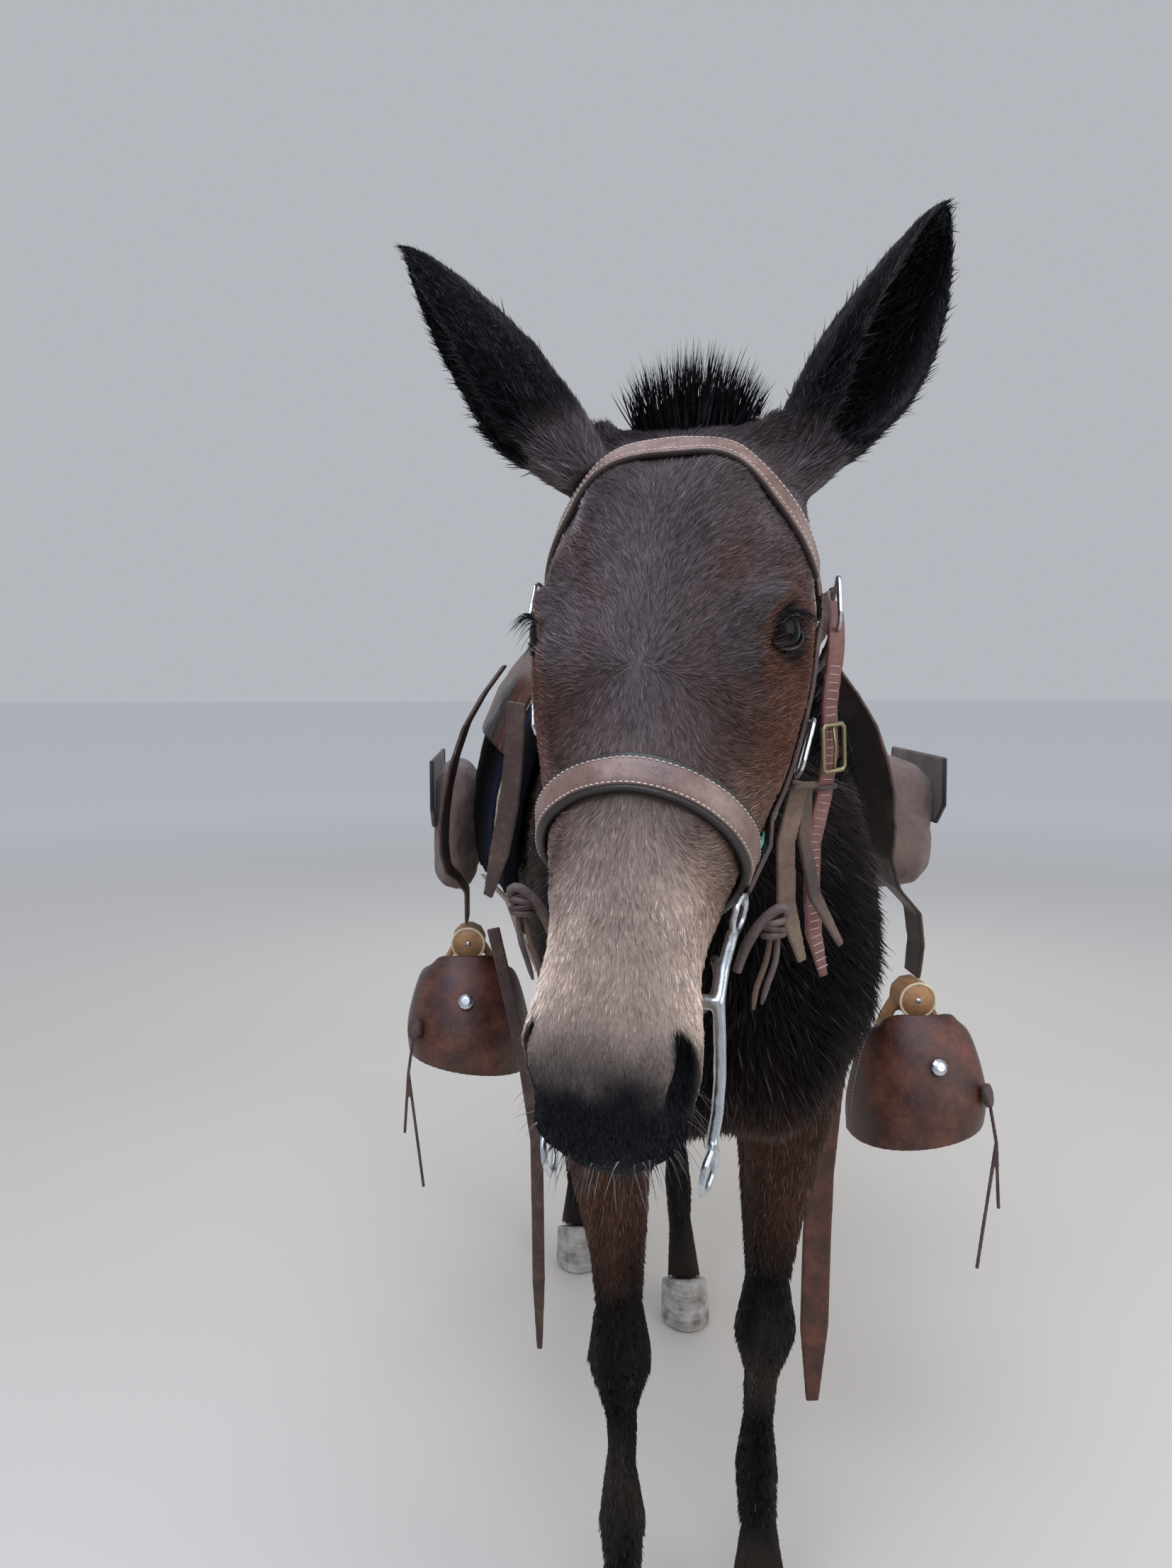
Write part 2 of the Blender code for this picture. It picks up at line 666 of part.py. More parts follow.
def prism(which, side, grow):
    """The convex space that a leg takes from the body."""
    (x0, z0), (x1, z1), (y0, y1) = LEG_SLOPES[which]
    build = bmesh.new()
    for y in (y0 - grow, y1 + grow):
        for x, z in ((x0 - grow, -0.1), (x1, -0.1), (x1, z1 + grow), (x0 - grow, z0 + grow)):
            build.verts.new((side * x, y, z))
    bmesh.ops.convex_hull(build, input=build.verts)
    bmesh.ops.recalc_face_normals(build, faces=build.faces)
    mesh = bpy.data.meshes.new("prism")
    build.to_mesh(mesh)
    build.free()
    made = bpy.data.objects.new("prism", mesh)
    bpy.context.scene.collection.objects.link(made)
    return made


neck = keep_side(copy_of(body_fine, "neck"), COLLAR[0] + COLLAR[1] * (GAP / 2), COLLAR[1])
keep_side(neck, THROAT[0] - THROAT[1] * (GAP / 2), -THROAT[1])
torso = keep_side(copy_of(body_fine, "torso"), COLLAR[0] - COLLAR[1] * (GAP / 2), -COLLAR[1])
legs, hooves = [], []
for which in ("fore", "hind"):
    for name, side in SIDES:
        leg = boolean(copy_of(body_fine, f"leg_{which}_{name}"), [prism(which, side, 0)], "INTERSECT")
        keep_largest(leg)
        centre, half, depth = leg_point(which, name, CORONET_HEIGHT)
        upwards = Vector((0, CORONET_SLOPE, 1)).normalized()
        keep_side(leg, centre + upwards * GAP, upwards)
        legs.append(leg)
        # The hoof spreads from the coronet down to a level sole
        around = []
        for k in range(HOOF_AROUND):
            a = 2 * math.pi * k / HOOF_AROUND
            rear = 0.80 if math.sin(a) > 0 else 1.0
            around.append((math.cos(a), math.sin(a) * rear))
        rings = []
        for z, wide, long, ahead in ((0, 0.046, 0.058, 0.030), (0.005, 0.050, 0.062, 0.029),
                                     (None, 0.046, 0.056, 0)):
            ring = []
            for across, back in around:
                x, y = centre.x + across * wide, centre.y - ahead + back * long
                top = CORONET_HEIGHT - (y - centre.y) * CORONET_SLOPE
                ring.append((x, y, top if z is None else z))
            rings.append(ring)
        hooves.append(loft(f"hoof_{which}_{name}", rings, HORN))
boolean(torso, [prism(which, side, GAP) for which in ("fore", "hind") for name, side in SIDES], "DIFFERENCE")
keep_largest(torso)
bpy.data.objects.remove(body_fine)

# Eyes, nostrils and mouth

head = head_fine
head.name = "head"
head.data.materials.append(COAT)
cutters = []
for name, side in SIDES:
    flip = Matrix.Diagonal((side, 1, 1, 1))
    frame = HEAD_PLACE @ flip
    build = bmesh.new()
    bmesh.ops.create_uvsphere(build, u_segments=12, v_segments=8, radius=EYE_RADIUS)
    bmesh.ops.triangulate(build, faces=build.faces)
    build.transform(HEAD_PLACE @ Matrix.Translation((side * EYE_PLACE[0], *EYE_PLACE[1:])))
    ball = bpy.data.meshes.new(f"eye_{name}")
    build.to_mesh(ball)
    eye = bpy.data.objects.new(f"eye_{name}", ball)
    bpy.context.scene.collection.objects.link(eye)
    ball.materials.append(EYE)
    middle = frame @ Vector(EYE_PLACE)
    larger = Matrix.Scale(1 + GAP / EYE_RADIUS * 1.6, 4)
    build.transform(Matrix.Translation(middle) @ larger @ Matrix.Translation(-middle))
    socket = bpy.data.meshes.new("socket")
    build.to_mesh(socket)
    build.free()
    socket = bpy.data.objects.new("socket", socket)
    bpy.context.scene.collection.objects.link(socket)
    cutters.append(socket)
    cutters.append(lens(EYE_PLACE, EYE_AXIS, (0, 0.55, 0.83), 0.037, 0.023, 0.06, frame))
    # The nostril opens as a comma and runs up into the muzzle
    rings = []
    for (x, y, z), size in (
        ((0.070, -0.500, -0.040), 1.05),
        ((0.050, -0.492, -0.054), 1.0),
        ((0.038, -0.476, -0.062), 0.80),
        ((0.028, -0.452, -0.068), 0.45),
    ):
        ring = []
        for k in range(10):
            a = 2 * math.pi * k / 10
            long = math.sin(a) * 0.017 * size
            wide = (math.cos(a) * 0.0075 * (1 - 0.35 * math.sin(a)) + 0.006 * math.sin(a) ** 2) * size
            ring.append(frame @ Vector((x + wide * 0.55, y - long * 0.75 - wide * 0.3,
                                        z - long * 0.62 + wide * 0.75)))
        rings.append(ring)
    cutters.append(loft("nostril", rings))
# The line of the mouth, a thin curved slot from the corners round the front
LIPS = ((-0.436, -0.1062), (-0.455, -0.110), (-0.490, -0.113), (-0.520, -0.113), (-0.545, -0.110),
        (-0.600, -0.106))
rings = []
for x in (-0.09, 0.09):
    upper = [(x, y, z + 0.0010 * min(1, 8 * i / 5)) for i, (y, z) in enumerate(LIPS)]
    lower = [(x, y, z - 0.0012 * min(1, 8 * i / 5) - 0.0002) for i, (y, z) in reversed(list(enumerate(LIPS)))]
    rings.append(in_head(upper + lower))


def plate(name, rings, finish=None):
    """A solid between two matching outlines, its ends closed by flat faces."""
    count = len(rings[0])
    points = [p for ring in rings for p in ring]
    faces = [tuple(range(count)), tuple(range(len(points) - 1, len(points) - count - 1, -1))]
    for i in range(len(rings) - 1):
        for k in range(count):
            n = (k + 1) % count
            faces.append((i * count + k, i * count + n, (i + 1) * count + n, (i + 1) * count + k))
    made = mesh_object(name, points, faces, finish)
    build = bmesh.new()
    build.from_mesh(made.data)
    bmesh.ops.triangulate(build, faces=build.faces)
    build.to_mesh(made.data)
    build.free()
    return made


cutters.append(plate("mouth", rings))
BIT_PLACE = (-0.437, -0.1065)
BIT_RADIUS = 0.0055
SHANK_SIDE = 0.060
HOOD_SLANT = 0.016
bar_path = [(x, BIT_PLACE[0], BIT_PLACE[1]) for x in (-0.12, -0.04, 0.04, 0.12)]
cutters.append(tube("bit_way", in_head(bar_path), BIT_RADIUS + GAP * 1.5, 12))
boolean(head, cutters, "DIFFERENCE")
keep_largest(head)

# Ears, rolled leaves that open outwards: base, tip, the way each opens, and how far its middle bows

EAR_AROUND = 9
EARS = {
    "left": ((0.004, -0.478, 1.500), (0.146, -0.405, 1.722), (0.45, -0.86, -0.20), (0.016, 0, 0.000)),
    "right": ((-0.185, -0.458, 1.503), (-0.325, -0.380, 1.684), (-0.90, -0.05, -0.35), (-0.012, 0, -0.003)),
}
# Along each ear: how far up, radius, half opening angle of the leaf in degrees, thickness, how far the cup
# is filled
EAR = rows(
    "-0.14 0.022 150 0.0065 1.00",
    " 0.02 0.031 150 0.0065 1.00",
    " 0.09 0.036 148 0.0065 0.70",
    " 0.18 0.041 138 0.0060 0.20",
    " 0.32 0.046 122 0.0050 0.00",
    " 0.50 0.044 112 0.0045 0.00",
    " 0.70 0.035 108 0.0040 0.00",
    " 0.86 0.023 104 0.0036 0.00",
    " 0.94 0.014 100 0.0030 0.00",
    " 1.00 0.005 95 0.0020 0.00",
)


def ear(name):
    base, tip, opens, bow = (Vector(v) for v in EARS[name])
    axis = tip - base
    length = axis.length
    axis = axis.normalized()
    opens = Vector(opens)
    opens = (opens - axis * opens.dot(axis)).normalized()
    across = axis.cross(opens)
    rings = []
    for up, radius, angle, thick, fill in EAR:
        centre = base + axis * (up * length) + bow * math.sin(math.pi * min(1, max(0, up)))
        angles = np.radians(np.linspace(-angle, angle, EAR_AROUND))
        outer = [centre - opens * (radius * math.cos(a)) + across * (radius * 1.05 * math.sin(a))
                 for a in angles]
        inner = radius - min(thick, radius * 0.8)
        inside = [centre - opens * (inner * math.cos(a)) + across * (inner * math.sin(a))
                  for a in angles[::-1]]
        chord = [outer[-1].lerp(outer[0], (k + 0.5) / EAR_AROUND) for k in range(EAR_AROUND)]
        rings.append(outer + [a.lerp(b, fill) for a, b in zip(inside, chord)])
    return loft(f"ear_{name}", rings, POINTS)


# Bridle: each strap lies on what is under it

flesh = tree_of(head, neck)
laid = [head, neck]


def lay_strap(name, path, width, thickness, finish, closed=False, step=0.012, above=0.0013, keep=True,
              frame=HEAD_PLACE,
              skin=None, padding=0.0, under=None):
    """A flat strap over whatever is laid already; width across the surface, padding rounds its back."""
    skin = skin or flesh
    under = under or laid
    points = [frame @ Vector(p) for p in path]
    if closed:
        points.append(points[0])
    run = sum((b - a).length for a, b in zip(points, points[1:]))
    count = max(4, int(run / step))
    line = curve_through(points, count)
    if closed:
        line = line[:-1]
        count -= 1
    cover = tree_of(*under)
    spots = []
    for point in line:
        place, normal, _, _ = skin.find_nearest(point)
        spots.append((place, normal))
    smooth = []
    for i, (place, normal) in enumerate(spots):
        before = spots[(i - 1) % count][1] if closed or i > 0 else normal
        after = spots[(i + 1) % count][1] if closed or i < count - 1 else normal
        smooth.append((place, (before + normal * 2 + after).normalized()))
    lifts = []
    frames = []
    for i, (place, normal) in enumerate(smooth):
        before = smooth[(i - 1) % count][0] if closed or i > 0 else place
        after = smooth[(i + 1) % count][0] if closed or i < count - 1 else place
        tangent = (after - before).normalized()
        side = normal.cross(tangent).normalized()
        edge_lifts = []
        for share in (-0.5, 0.0, 0.5):
            start = place + side * (width * share) + normal * 0.05
            hit = cover.ray_cast(start, -normal, 0.1)[0]
            edge_lifts.append(0.05 - (start - hit).length if hit else -0.002)
        frames.append((place, normal, side))
        lifts.append(edge_lifts)
    lifts = np.array(lifts)
    high = lifts.copy()
    for shift in (-1, 1):
        moved = np.roll(lifts, shift, axis=0)
        if not closed:
            moved[0 if shift == 1 else -1] = lifts[0 if shift == 1 else -1]
        high = np.maximum(high, moved)
    rings = []
    for (place, normal, side), (low, middle, top) in zip(frames, high):
        middle = max(middle, (low + top) / 2)
        if padding:
            line = ((-0.5, low, 0), (0.0, middle, 0), (0.5, top, 0), (0.5, top, thickness),
                    (0.0, middle, thickness + padding), (-0.5, low, thickness))
        else:
            bow = max(0.0, middle - (low + top) / 2)
            line = ((-0.5, low + bow, 0), (0.5, top + bow, 0), (0.47, top + bow, thickness),
                    (-0.47, low + bow, thickness))
        rings.append([place + side * (width * share) + normal * (lift + above + rise)
                      for share, lift, rise in line])
    if closed:
        each = len(rings[0])
        points = [p for ring in rings for p in ring]
        faces = []
        for i in range(count):
            n = (i + 1) % count
            faces += [(i * each + k, i * each + (k + 1) % each, n * each + (k + 1) % each, n * each + k)
                      for k in range(each)]
        made = mesh_object(name, points, faces, finish)
    else:
        made = loft(name, rings, finish)
    clear_of(made, under)
    if keep:
        laid.append(made)
    return made


def flip(path, side):
    return [(side * x, y, z) for x, y, z in path]


BROW_PATH = ((-0.112, -0.120, -0.072), (-0.104, -0.100, -0.036), (-0.066, -0.062, 0.016),
             (0.000, -0.034, 0.034),
             (0.060, -0.050, 0.018), (0.098, -0.088, -0.026), (0.108, -0.110, -0.060))
CROWN_PATH = ((-0.112, -0.106, -0.086), (-0.112, -0.050, -0.112), (-0.104, 0.015, -0.118),
              (-0.085, 0.062, -0.085),
              (-0.050, 0.086, -0.040), (0.000, 0.094, -0.020), (0.050, 0.086, -0.040), (0.085, 0.062, -0.085),
              (0.104, 0.015, -0.118), (0.112, -0.050, -0.112), (0.112, -0.118, -0.086))
CHEEK_PATH = ((0.112, -0.110, -0.082), (0.104, -0.190, -0.096), (0.092, -0.262, -0.106),
              (0.072, -0.322, -0.108), (0.066, -0.354, -0.106))
BACK_PATH = ((0.110, -0.090, -0.104), (0.104, -0.160, -0.130), (0.096, -0.230, -0.140),
             (0.086, -0.300, -0.142))
NOSE_PATH = ((0.0, -0.314, 0.01), (0.045, -0.318, -0.004), (0.070, -0.332, -0.060), (0.066, -0.345, -0.120),
             (0.036, -0.356, -0.172),
             (0.0, -0.360, -0.185), (-0.036, -0.356, -0.172), (-0.066, -0.345, -0.120),
             (-0.070, -0.332, -0.060), (-0.045, -0.318, -0.004))
THROAT_PATH = ((0.1150, -0.075, -0.118), (0.104, -0.085, -0.205), (0.058, -0.098, -0.262),
               (0.0, -0.104, -0.282),
               (-0.058, -0.098, -0.262), (-0.104, -0.085, -0.205), (-0.1150, -0.075, -0.118))

browband = lay_strap("browband", BROW_PATH, 0.023, 0.004, LEATHER, step=0.015, above=0.0024, under=[head])
crown = lay_strap("crownpiece", CROWN_PATH, 0.026, 0.004, LEATHER, above=0.003, step=0.018,
                  under=[head, neck, browband])
for name, side in SIDES:
    laid.append(clear_of(ear(name), (head, neck)))
noseband = lay_strap("noseband", NOSE_PATH, 0.029, 0.005, LEATHER, closed=True, padding=0.001, step=0.019,
                     above=0.0024)
cheeks = [lay_strap(f"cheek_strap_{name}", flip(CHEEK_PATH, side), 0.019, 0.0035, DARK_LEATHER,
                    step=0.018) for name, side in SIDES]
backs = [lay_strap(f"halter_strap_{name}", flip(BACK_PATH, side), 0.020, 0.0035, LEATHER, step=0.018)
         for name, side in SIDES]
nylon = lay_strap("nylon_strip", ((0.084, -0.262, -0.124), (0.078, -0.290, -0.126), (0.070, -0.322, -0.126)),
                  0.010, 0.0015, material("nylon_webbing", (60, 150, 130), 0.6))


def buckle(name, along, path, width, length, bar=0.0022, frame=HEAD_PLACE):
    """A square frame with a tongue, standing on whatever lies at a place on the path."""
    points = [frame @ Vector(p) for p in path]
    line = curve_through(points, 41)
    i = min(39, max(1, int(along * 40)))
    tangent = (line[i + 1] - line[i - 1]).normalized()
    place, normal, _, _ = flesh.find_nearest(line[i])
    side = normal.cross(tangent).normalized()
    tangent = side.cross(normal)
    cover = tree_of(*laid)
    lift = 0
    for a in np.linspace(-0.6, 0.6, 7):
        for b in np.linspace(-0.6, 0.6, 7):
            start = place + side * (width * a) + tangent * (length * b) + normal * 0.05
            hit = cover.ray_cast(start, -normal, 0.1)[0]
            if hit:
                lift = max(lift, 0.05 - (start - hit).length)
    middle = place + normal * (lift + bar + 0.0015)
    corner = 0.22
    loop = []
    for a, b in ((1, 1 - corner), (1 - corner, 1), (-1 + corner, 1), (-1, 1 - corner), (-1, -1 + corner),
                 (-1 + corner, -1),
                 (1 - corner, -1), (1, -1 + corner)):
        loop.append(middle + side * (a * width / 2) + tangent * (b * length / 2))
    made = tube(name, loop, bar, 4, STEEL, closed=True)
    tip = middle + tangent * (length * 0.42) + normal * 0.001
    tongue = tube("tongue", [middle - tangent * (length / 2), tip], bar * 0.8, 4)
    boolean(made, [tongue], "UNION")
    keep_largest(made)
    laid.append(made)
    return made


buckle("buckle_brow_left", 0.03, CHEEK_PATH, 0.032, 0.036)
buckle("buckle_brow_right", 0.03, flip(CHEEK_PATH, -1), 0.032, 0.036)
buckle("buckle_cheek_left", 0.52, CHEEK_PATH, 0.030, 0.040)
buckle("buckle_cheek_right", 0.42, flip(CHEEK_PATH, -1), 0.030, 0.040)
buckle("buckle_halter_left", 0.62, BACK_PATH, 0.030, 0.036)

tube("throat_latch", curve_through(in_head(THROAT_PATH), 15), 0.0045, 4, DARK_LEATHER)

# The curb bit: a bar through the mouth, and a long cheek with a ring at each side

pieces = []
for name, side in SIDES:
    x = side * SHANK_SIDE
    shank = [(x * 1.10, -0.385, -0.100), (x * 1.02, -0.410, -0.104), (x, -0.437, -0.1065),
             (x * 1.04, -0.468, -0.122),
             (x * 1.03, -0.500, -0.140), (x * 0.97, -0.530, -0.150)]
    pieces.append(tube("shank", curve_through(in_head(shank), 7), 0.0048, 5))
    for centre, size in (((x * 1.147, -0.373, -0.099), 0.014), ((x * 0.97, -0.543, -0.151), 0.016)):
        loop = [HEAD_PLACE @ Vector((centre[0] + side * 0.003 * math.cos(a), centre[1] + size * math.cos(a),
                                     centre[2] + size * math.sin(a)))
                for a in np.linspace(0, 2 * math.pi, 8, endpoint=False)]
        pieces.append(tube("ring", loop, 0.0032, 4, closed=True))
inner = [Vector(p) for p in in_head([(side * (SHANK_SIDE + 0.0015), *BIT_PLACE) for side in (-1, 1)])]
bit = tube("bit", inner, BIT_RADIUS, 8, STEEL)
boolean(bit, pieces, "UNION")
keep_largest(bit)

# Hair: the clipped mane stands along the crest, a taller tuft between the ears, and the tail hangs to the
# hocks

MANE_HEIGHT = 0.052
MANE_START = -0.352
TUFT_HEIGHT = 0.066


def sound(obj):
    """True when every edge of a solid has two faces."""
    build = bmesh.new()
    build.from_mesh(obj.data)
    good = all(len(e.link_faces) == 2 for e in build.edges)
    build.free()
    return good


def plant(obj, grow):
    """Fuses locks to a solid; where the union is not clean they are swayed another way."""
    for seed in range(7, 19):
        trial = copy_of(obj, "trial")
        chance = random.Random(seed)
        boolean(trial, grow(lambda amount: chance.uniform(-amount, amount)), "UNION")
        keep_largest(trial)
        if sound(trial):
            break
        bpy.data.objects.remove(trial)
    obj.data = trial.data
    bpy.data.objects.remove(trial)
    return obj


def mane_locks(sway):
    cover = tree_of(neck)
    made = []
    for i, y in enumerate(np.linspace(MANE_START, 0.070, 19)):
        x = float(np.interp(y, (-0.45, 0.05), (-0.080, -0.002)))
        root = cover.ray_cast(Vector((x, y, 2)), Vector((0, 0, -1)))[0]
        lean = 0.010 * (-1) ** i + sway(0.004)
        tall = MANE_HEIGHT * (1.0 + sway(0.10)) * (1.0 if y < -0.1 else 1.0 - 0.35 * (y + 0.1) / 0.18)
        path = [root + Vector((0, 0, -0.016)), root + Vector((lean * 0.5, 0.001, tall * 0.5)),
                root + Vector((lean * 1.3, 0.010 + sway(0.004), tall))]
        made.append(lock(path, 0.040, 0.014, Vector((0.25 * (-1) ** i, 1, 0))))
    return made


def tuft_locks(sway):
    cover = tree_of(head)
    made = []
    for i in range(9):
        spot = (i - 4) / 4
        place = HEAD_PLACE @ Vector((spot * 0.036, 0.034 + 0.020 * (i % 2), 0.02))
        root = cover.ray_cast(place + Vector((0, 0, 0.3)), Vector((0, 0, -1)))[0]
        tall = TUFT_HEIGHT * (1 - 0.45 * spot * spot) * (1 + sway(0.08))
        way = Vector((spot * 0.38 + sway(0.08), -0.10 - 0.2 * (i % 2), 1)).normalized()
        bend = Vector((sway(0.008), -0.014, -0.004))
        path = [root - way * 0.018, root + way * (tall * 0.5) + bend * 0.2, root + way * tall + bend]
        made.append(lock(path, 0.028, 0.012, Vector((1, 0.3 * (-1) ** i, 0))))
    return made


TAIL_PATH = (
    (0.0, 1.225, 1.372),
    (0.0, 1.290, 1.345),
    (0.005, 1.330, 1.260),
    (0.008, 1.350, 1.120),
    (0.006, 1.362, 0.900),
    (0.004, 1.370, 0.680),
    (0.002, 1.372, 0.560),
)
TAIL_RADII = (0.032, 0.034, 0.036, 0.042, 0.045, 0.030, 0.008)


def tail_locks(sway):
    made = []
    heights = [-p[2] for p in TAIL_PATH] + [-0.3]
    for i in range(13):
        turn = math.radians(137.5 * i)
        out = Vector((math.cos(turn), 0.75 * math.sin(turn), 0))
        start = 1.225 - 0.041 * i
        tip = 0.375 + 0.013 * ((i * 7) % 11)
        path = []
        for z, share in zip(np.linspace(start, tip, 4), (0.40, 1.0, 1.05, 0.8)):
            middle = Vector((np.interp(-z, heights, [p[0] for p in TAIL_PATH] + [0.0]),
                             np.interp(-z, heights, [p[1] for p in TAIL_PATH] + [1.372]), z))
            half = np.interp(z, (0.35, 0.5, 0.9, 1.2, 1.26), (0.022, 0.040, 0.050, 0.038, 0.022))
            spread = float(half) * share
            path.append(middle + out * (spread + sway(0.004)) + Vector((sway(0.006), sway(0.004), 0)))
        made.append(lock(path, 0.054, 0.018, Vector((-math.sin(turn), math.cos(turn), 0))))
    return made


tail_line = curve_through(TAIL_PATH, 12)
tail_at = np.interp([-p.z for p in tail_line], [-p[2] for p in TAIL_PATH], TAIL_RADII)
tail = clear_of(tube("tail", tail_line, list(tail_at), 8, POINTS), (torso,))
plant(neck, mane_locks)
plant(head, tuft_locks)
plant(tail, tail_locks)

# Saddle pad, saddle and girths, each a shell over the trunk

PAD_THICK = 0.020
CORE_HEIGHT = 1.10


def trunk_shell(name, under, ys, half_angle, inner, outer, finish, centre_angle=0.0, columns=16, edge=None):
    """A shell laid over what is under it, from rays that meet a line along the trunk's middle."""
    cover = tree_of(*under)
    grids = [[], []]
    for y in ys:
        first, last = centre_angle - half_angle, centre_angle + half_angle
        if edge:
            first, last = edge(y, first, last)
        lines = [[], []]
        for angle in np.radians(np.linspace(first, last, columns)):
            axis = Vector((0, y, CORE_HEIGHT))
            way = Vector((math.sin(angle), 0, math.cos(angle)))
            hit = cover.ray_cast(axis + way * 0.9, -way, 0.9)[0] or axis + way * 0.25
            lines[0].append(hit + way * inner)
            lines[1].append(hit + way * outer)
        grids[0].append(lines[0])
        grids[1].append(lines[1])
    rows_count = len(ys)
    points = [p for grid in grids for line in grid for p in line]
    half = rows_count * columns

    def at(layer, i, k):
        return layer * half + i * columns + k

    faces = []
    for i in range(rows_count - 1):
        for k in range(columns - 1):
            for layer in (0, 1):
                faces.append((at(layer, i, k), at(layer, i + 1, k), at(layer, i + 1, k + 1),
                              at(layer, i, k + 1)))
        for k in (0, columns - 1):
            faces.append((at(0, i, k), at(0, i + 1, k), at(1, i + 1, k), at(1, i, k)))
    for k in range(columns - 1):
        for i in (0, rows_count - 1):
            faces.append((at(0, i, k), at(0, i, k + 1), at(1, i, k + 1), at(1, i, k)))
    return clear_of(mesh_object(name, points, faces, finish), under)


pad = trunk_shell("saddle_pad", [torso, neck], np.linspace(0.10, 0.80, 9), 108, 0.012, 0.012 + PAD_THICK,
                  WOOL, columns=17)
skirts = trunk_shell("saddle_skirts", [pad], np.linspace(0.1875, 0.7125, 7), 67.5, 0.0025, 0.0105, LEATHER,
                     columns=11)

# The saddle's tree and seat: along the trunk, the top line, half width of the top and how far down its sides
# reach
SADDLE = rows(
    "0.165 1.560 0.055 1.400",
    "0.185 1.590 0.120 1.370",
    "0.225 1.590 0.165 1.340",
    "0.265 1.560 0.150 1.340",
    "0.310 1.520 0.130 1.340",
    "0.400 1.495 0.140 1.330",
    "0.500 1.510 0.165 1.330",
    "0.560 1.560 0.185 1.330",
    "0.590 1.610 0.175 1.350",
    "0.612 1.612 0.165 1.370",
    "0.630 1.560 0.150 1.400",
)
rings = []
seat_cover = tree_of(skirts, pad, torso)
for y, top, half, low in SADDLE:
    over, below = [], []
    dish = 0.030 if 0.28 < y < 0.57 else 0.006
    for share in np.linspace(-1, 1, 9):
        x = share * half
        ground = max(seat_cover.ray_cast(Vector((x + near, y + ahead, 2)), Vector((0, 0, -1)))[0].z
                     for near in (-0.012, 0, 0.012) for ahead in (-0.012, 0, 0.012))
        drop = abs(share) ** 3 * (top - low) * 0.62
        over.append((x, y, max(top - drop - dish * (1 - share * share), ground + 0.016)))
        below.append((x * 0.98, y, ground + 0.004))
    rings.append(over + below[::-1])
saddle = loft("saddle", rings, LEATHER)
horn = tube("horn", [(0, 0.200, 1.560), (0, 0.190, 1.610), (0, 0.178, 1.645), (0, 0.172, 1.662)],
            (0.022, 0.018, 0.020, 0.034), 12)
cap = tube("cap", [(0, 0.172, 1.655), (0, 0.170, 1.664), (0, 0.167, 1.676)], (0.030, 0.038, 0.034), 12)
boolean(saddle, [horn, cap], "UNION")
keep_largest(saddle)

# Fenders, stirrup leathers, stirrups and their leather hoods

# How far from the middle each bag starts and ends
BAGS = {"left": (0.335, 0.520), "right": (0.312, 0.375)}
STIRRUPS = {"left": (0.392, 0.330, 0.612), "right": (-0.318, 0.560, 0.655)}


def slab(name, outline, thickness, finish, place):
    """A flat leaf with a given outline (along, up) and thickness, put in place by a function."""
    rings = [[place(u, v, w) for u, v in outline] for w in (-thickness / 2, thickness / 2)]
    return plate(name, rings, finish)


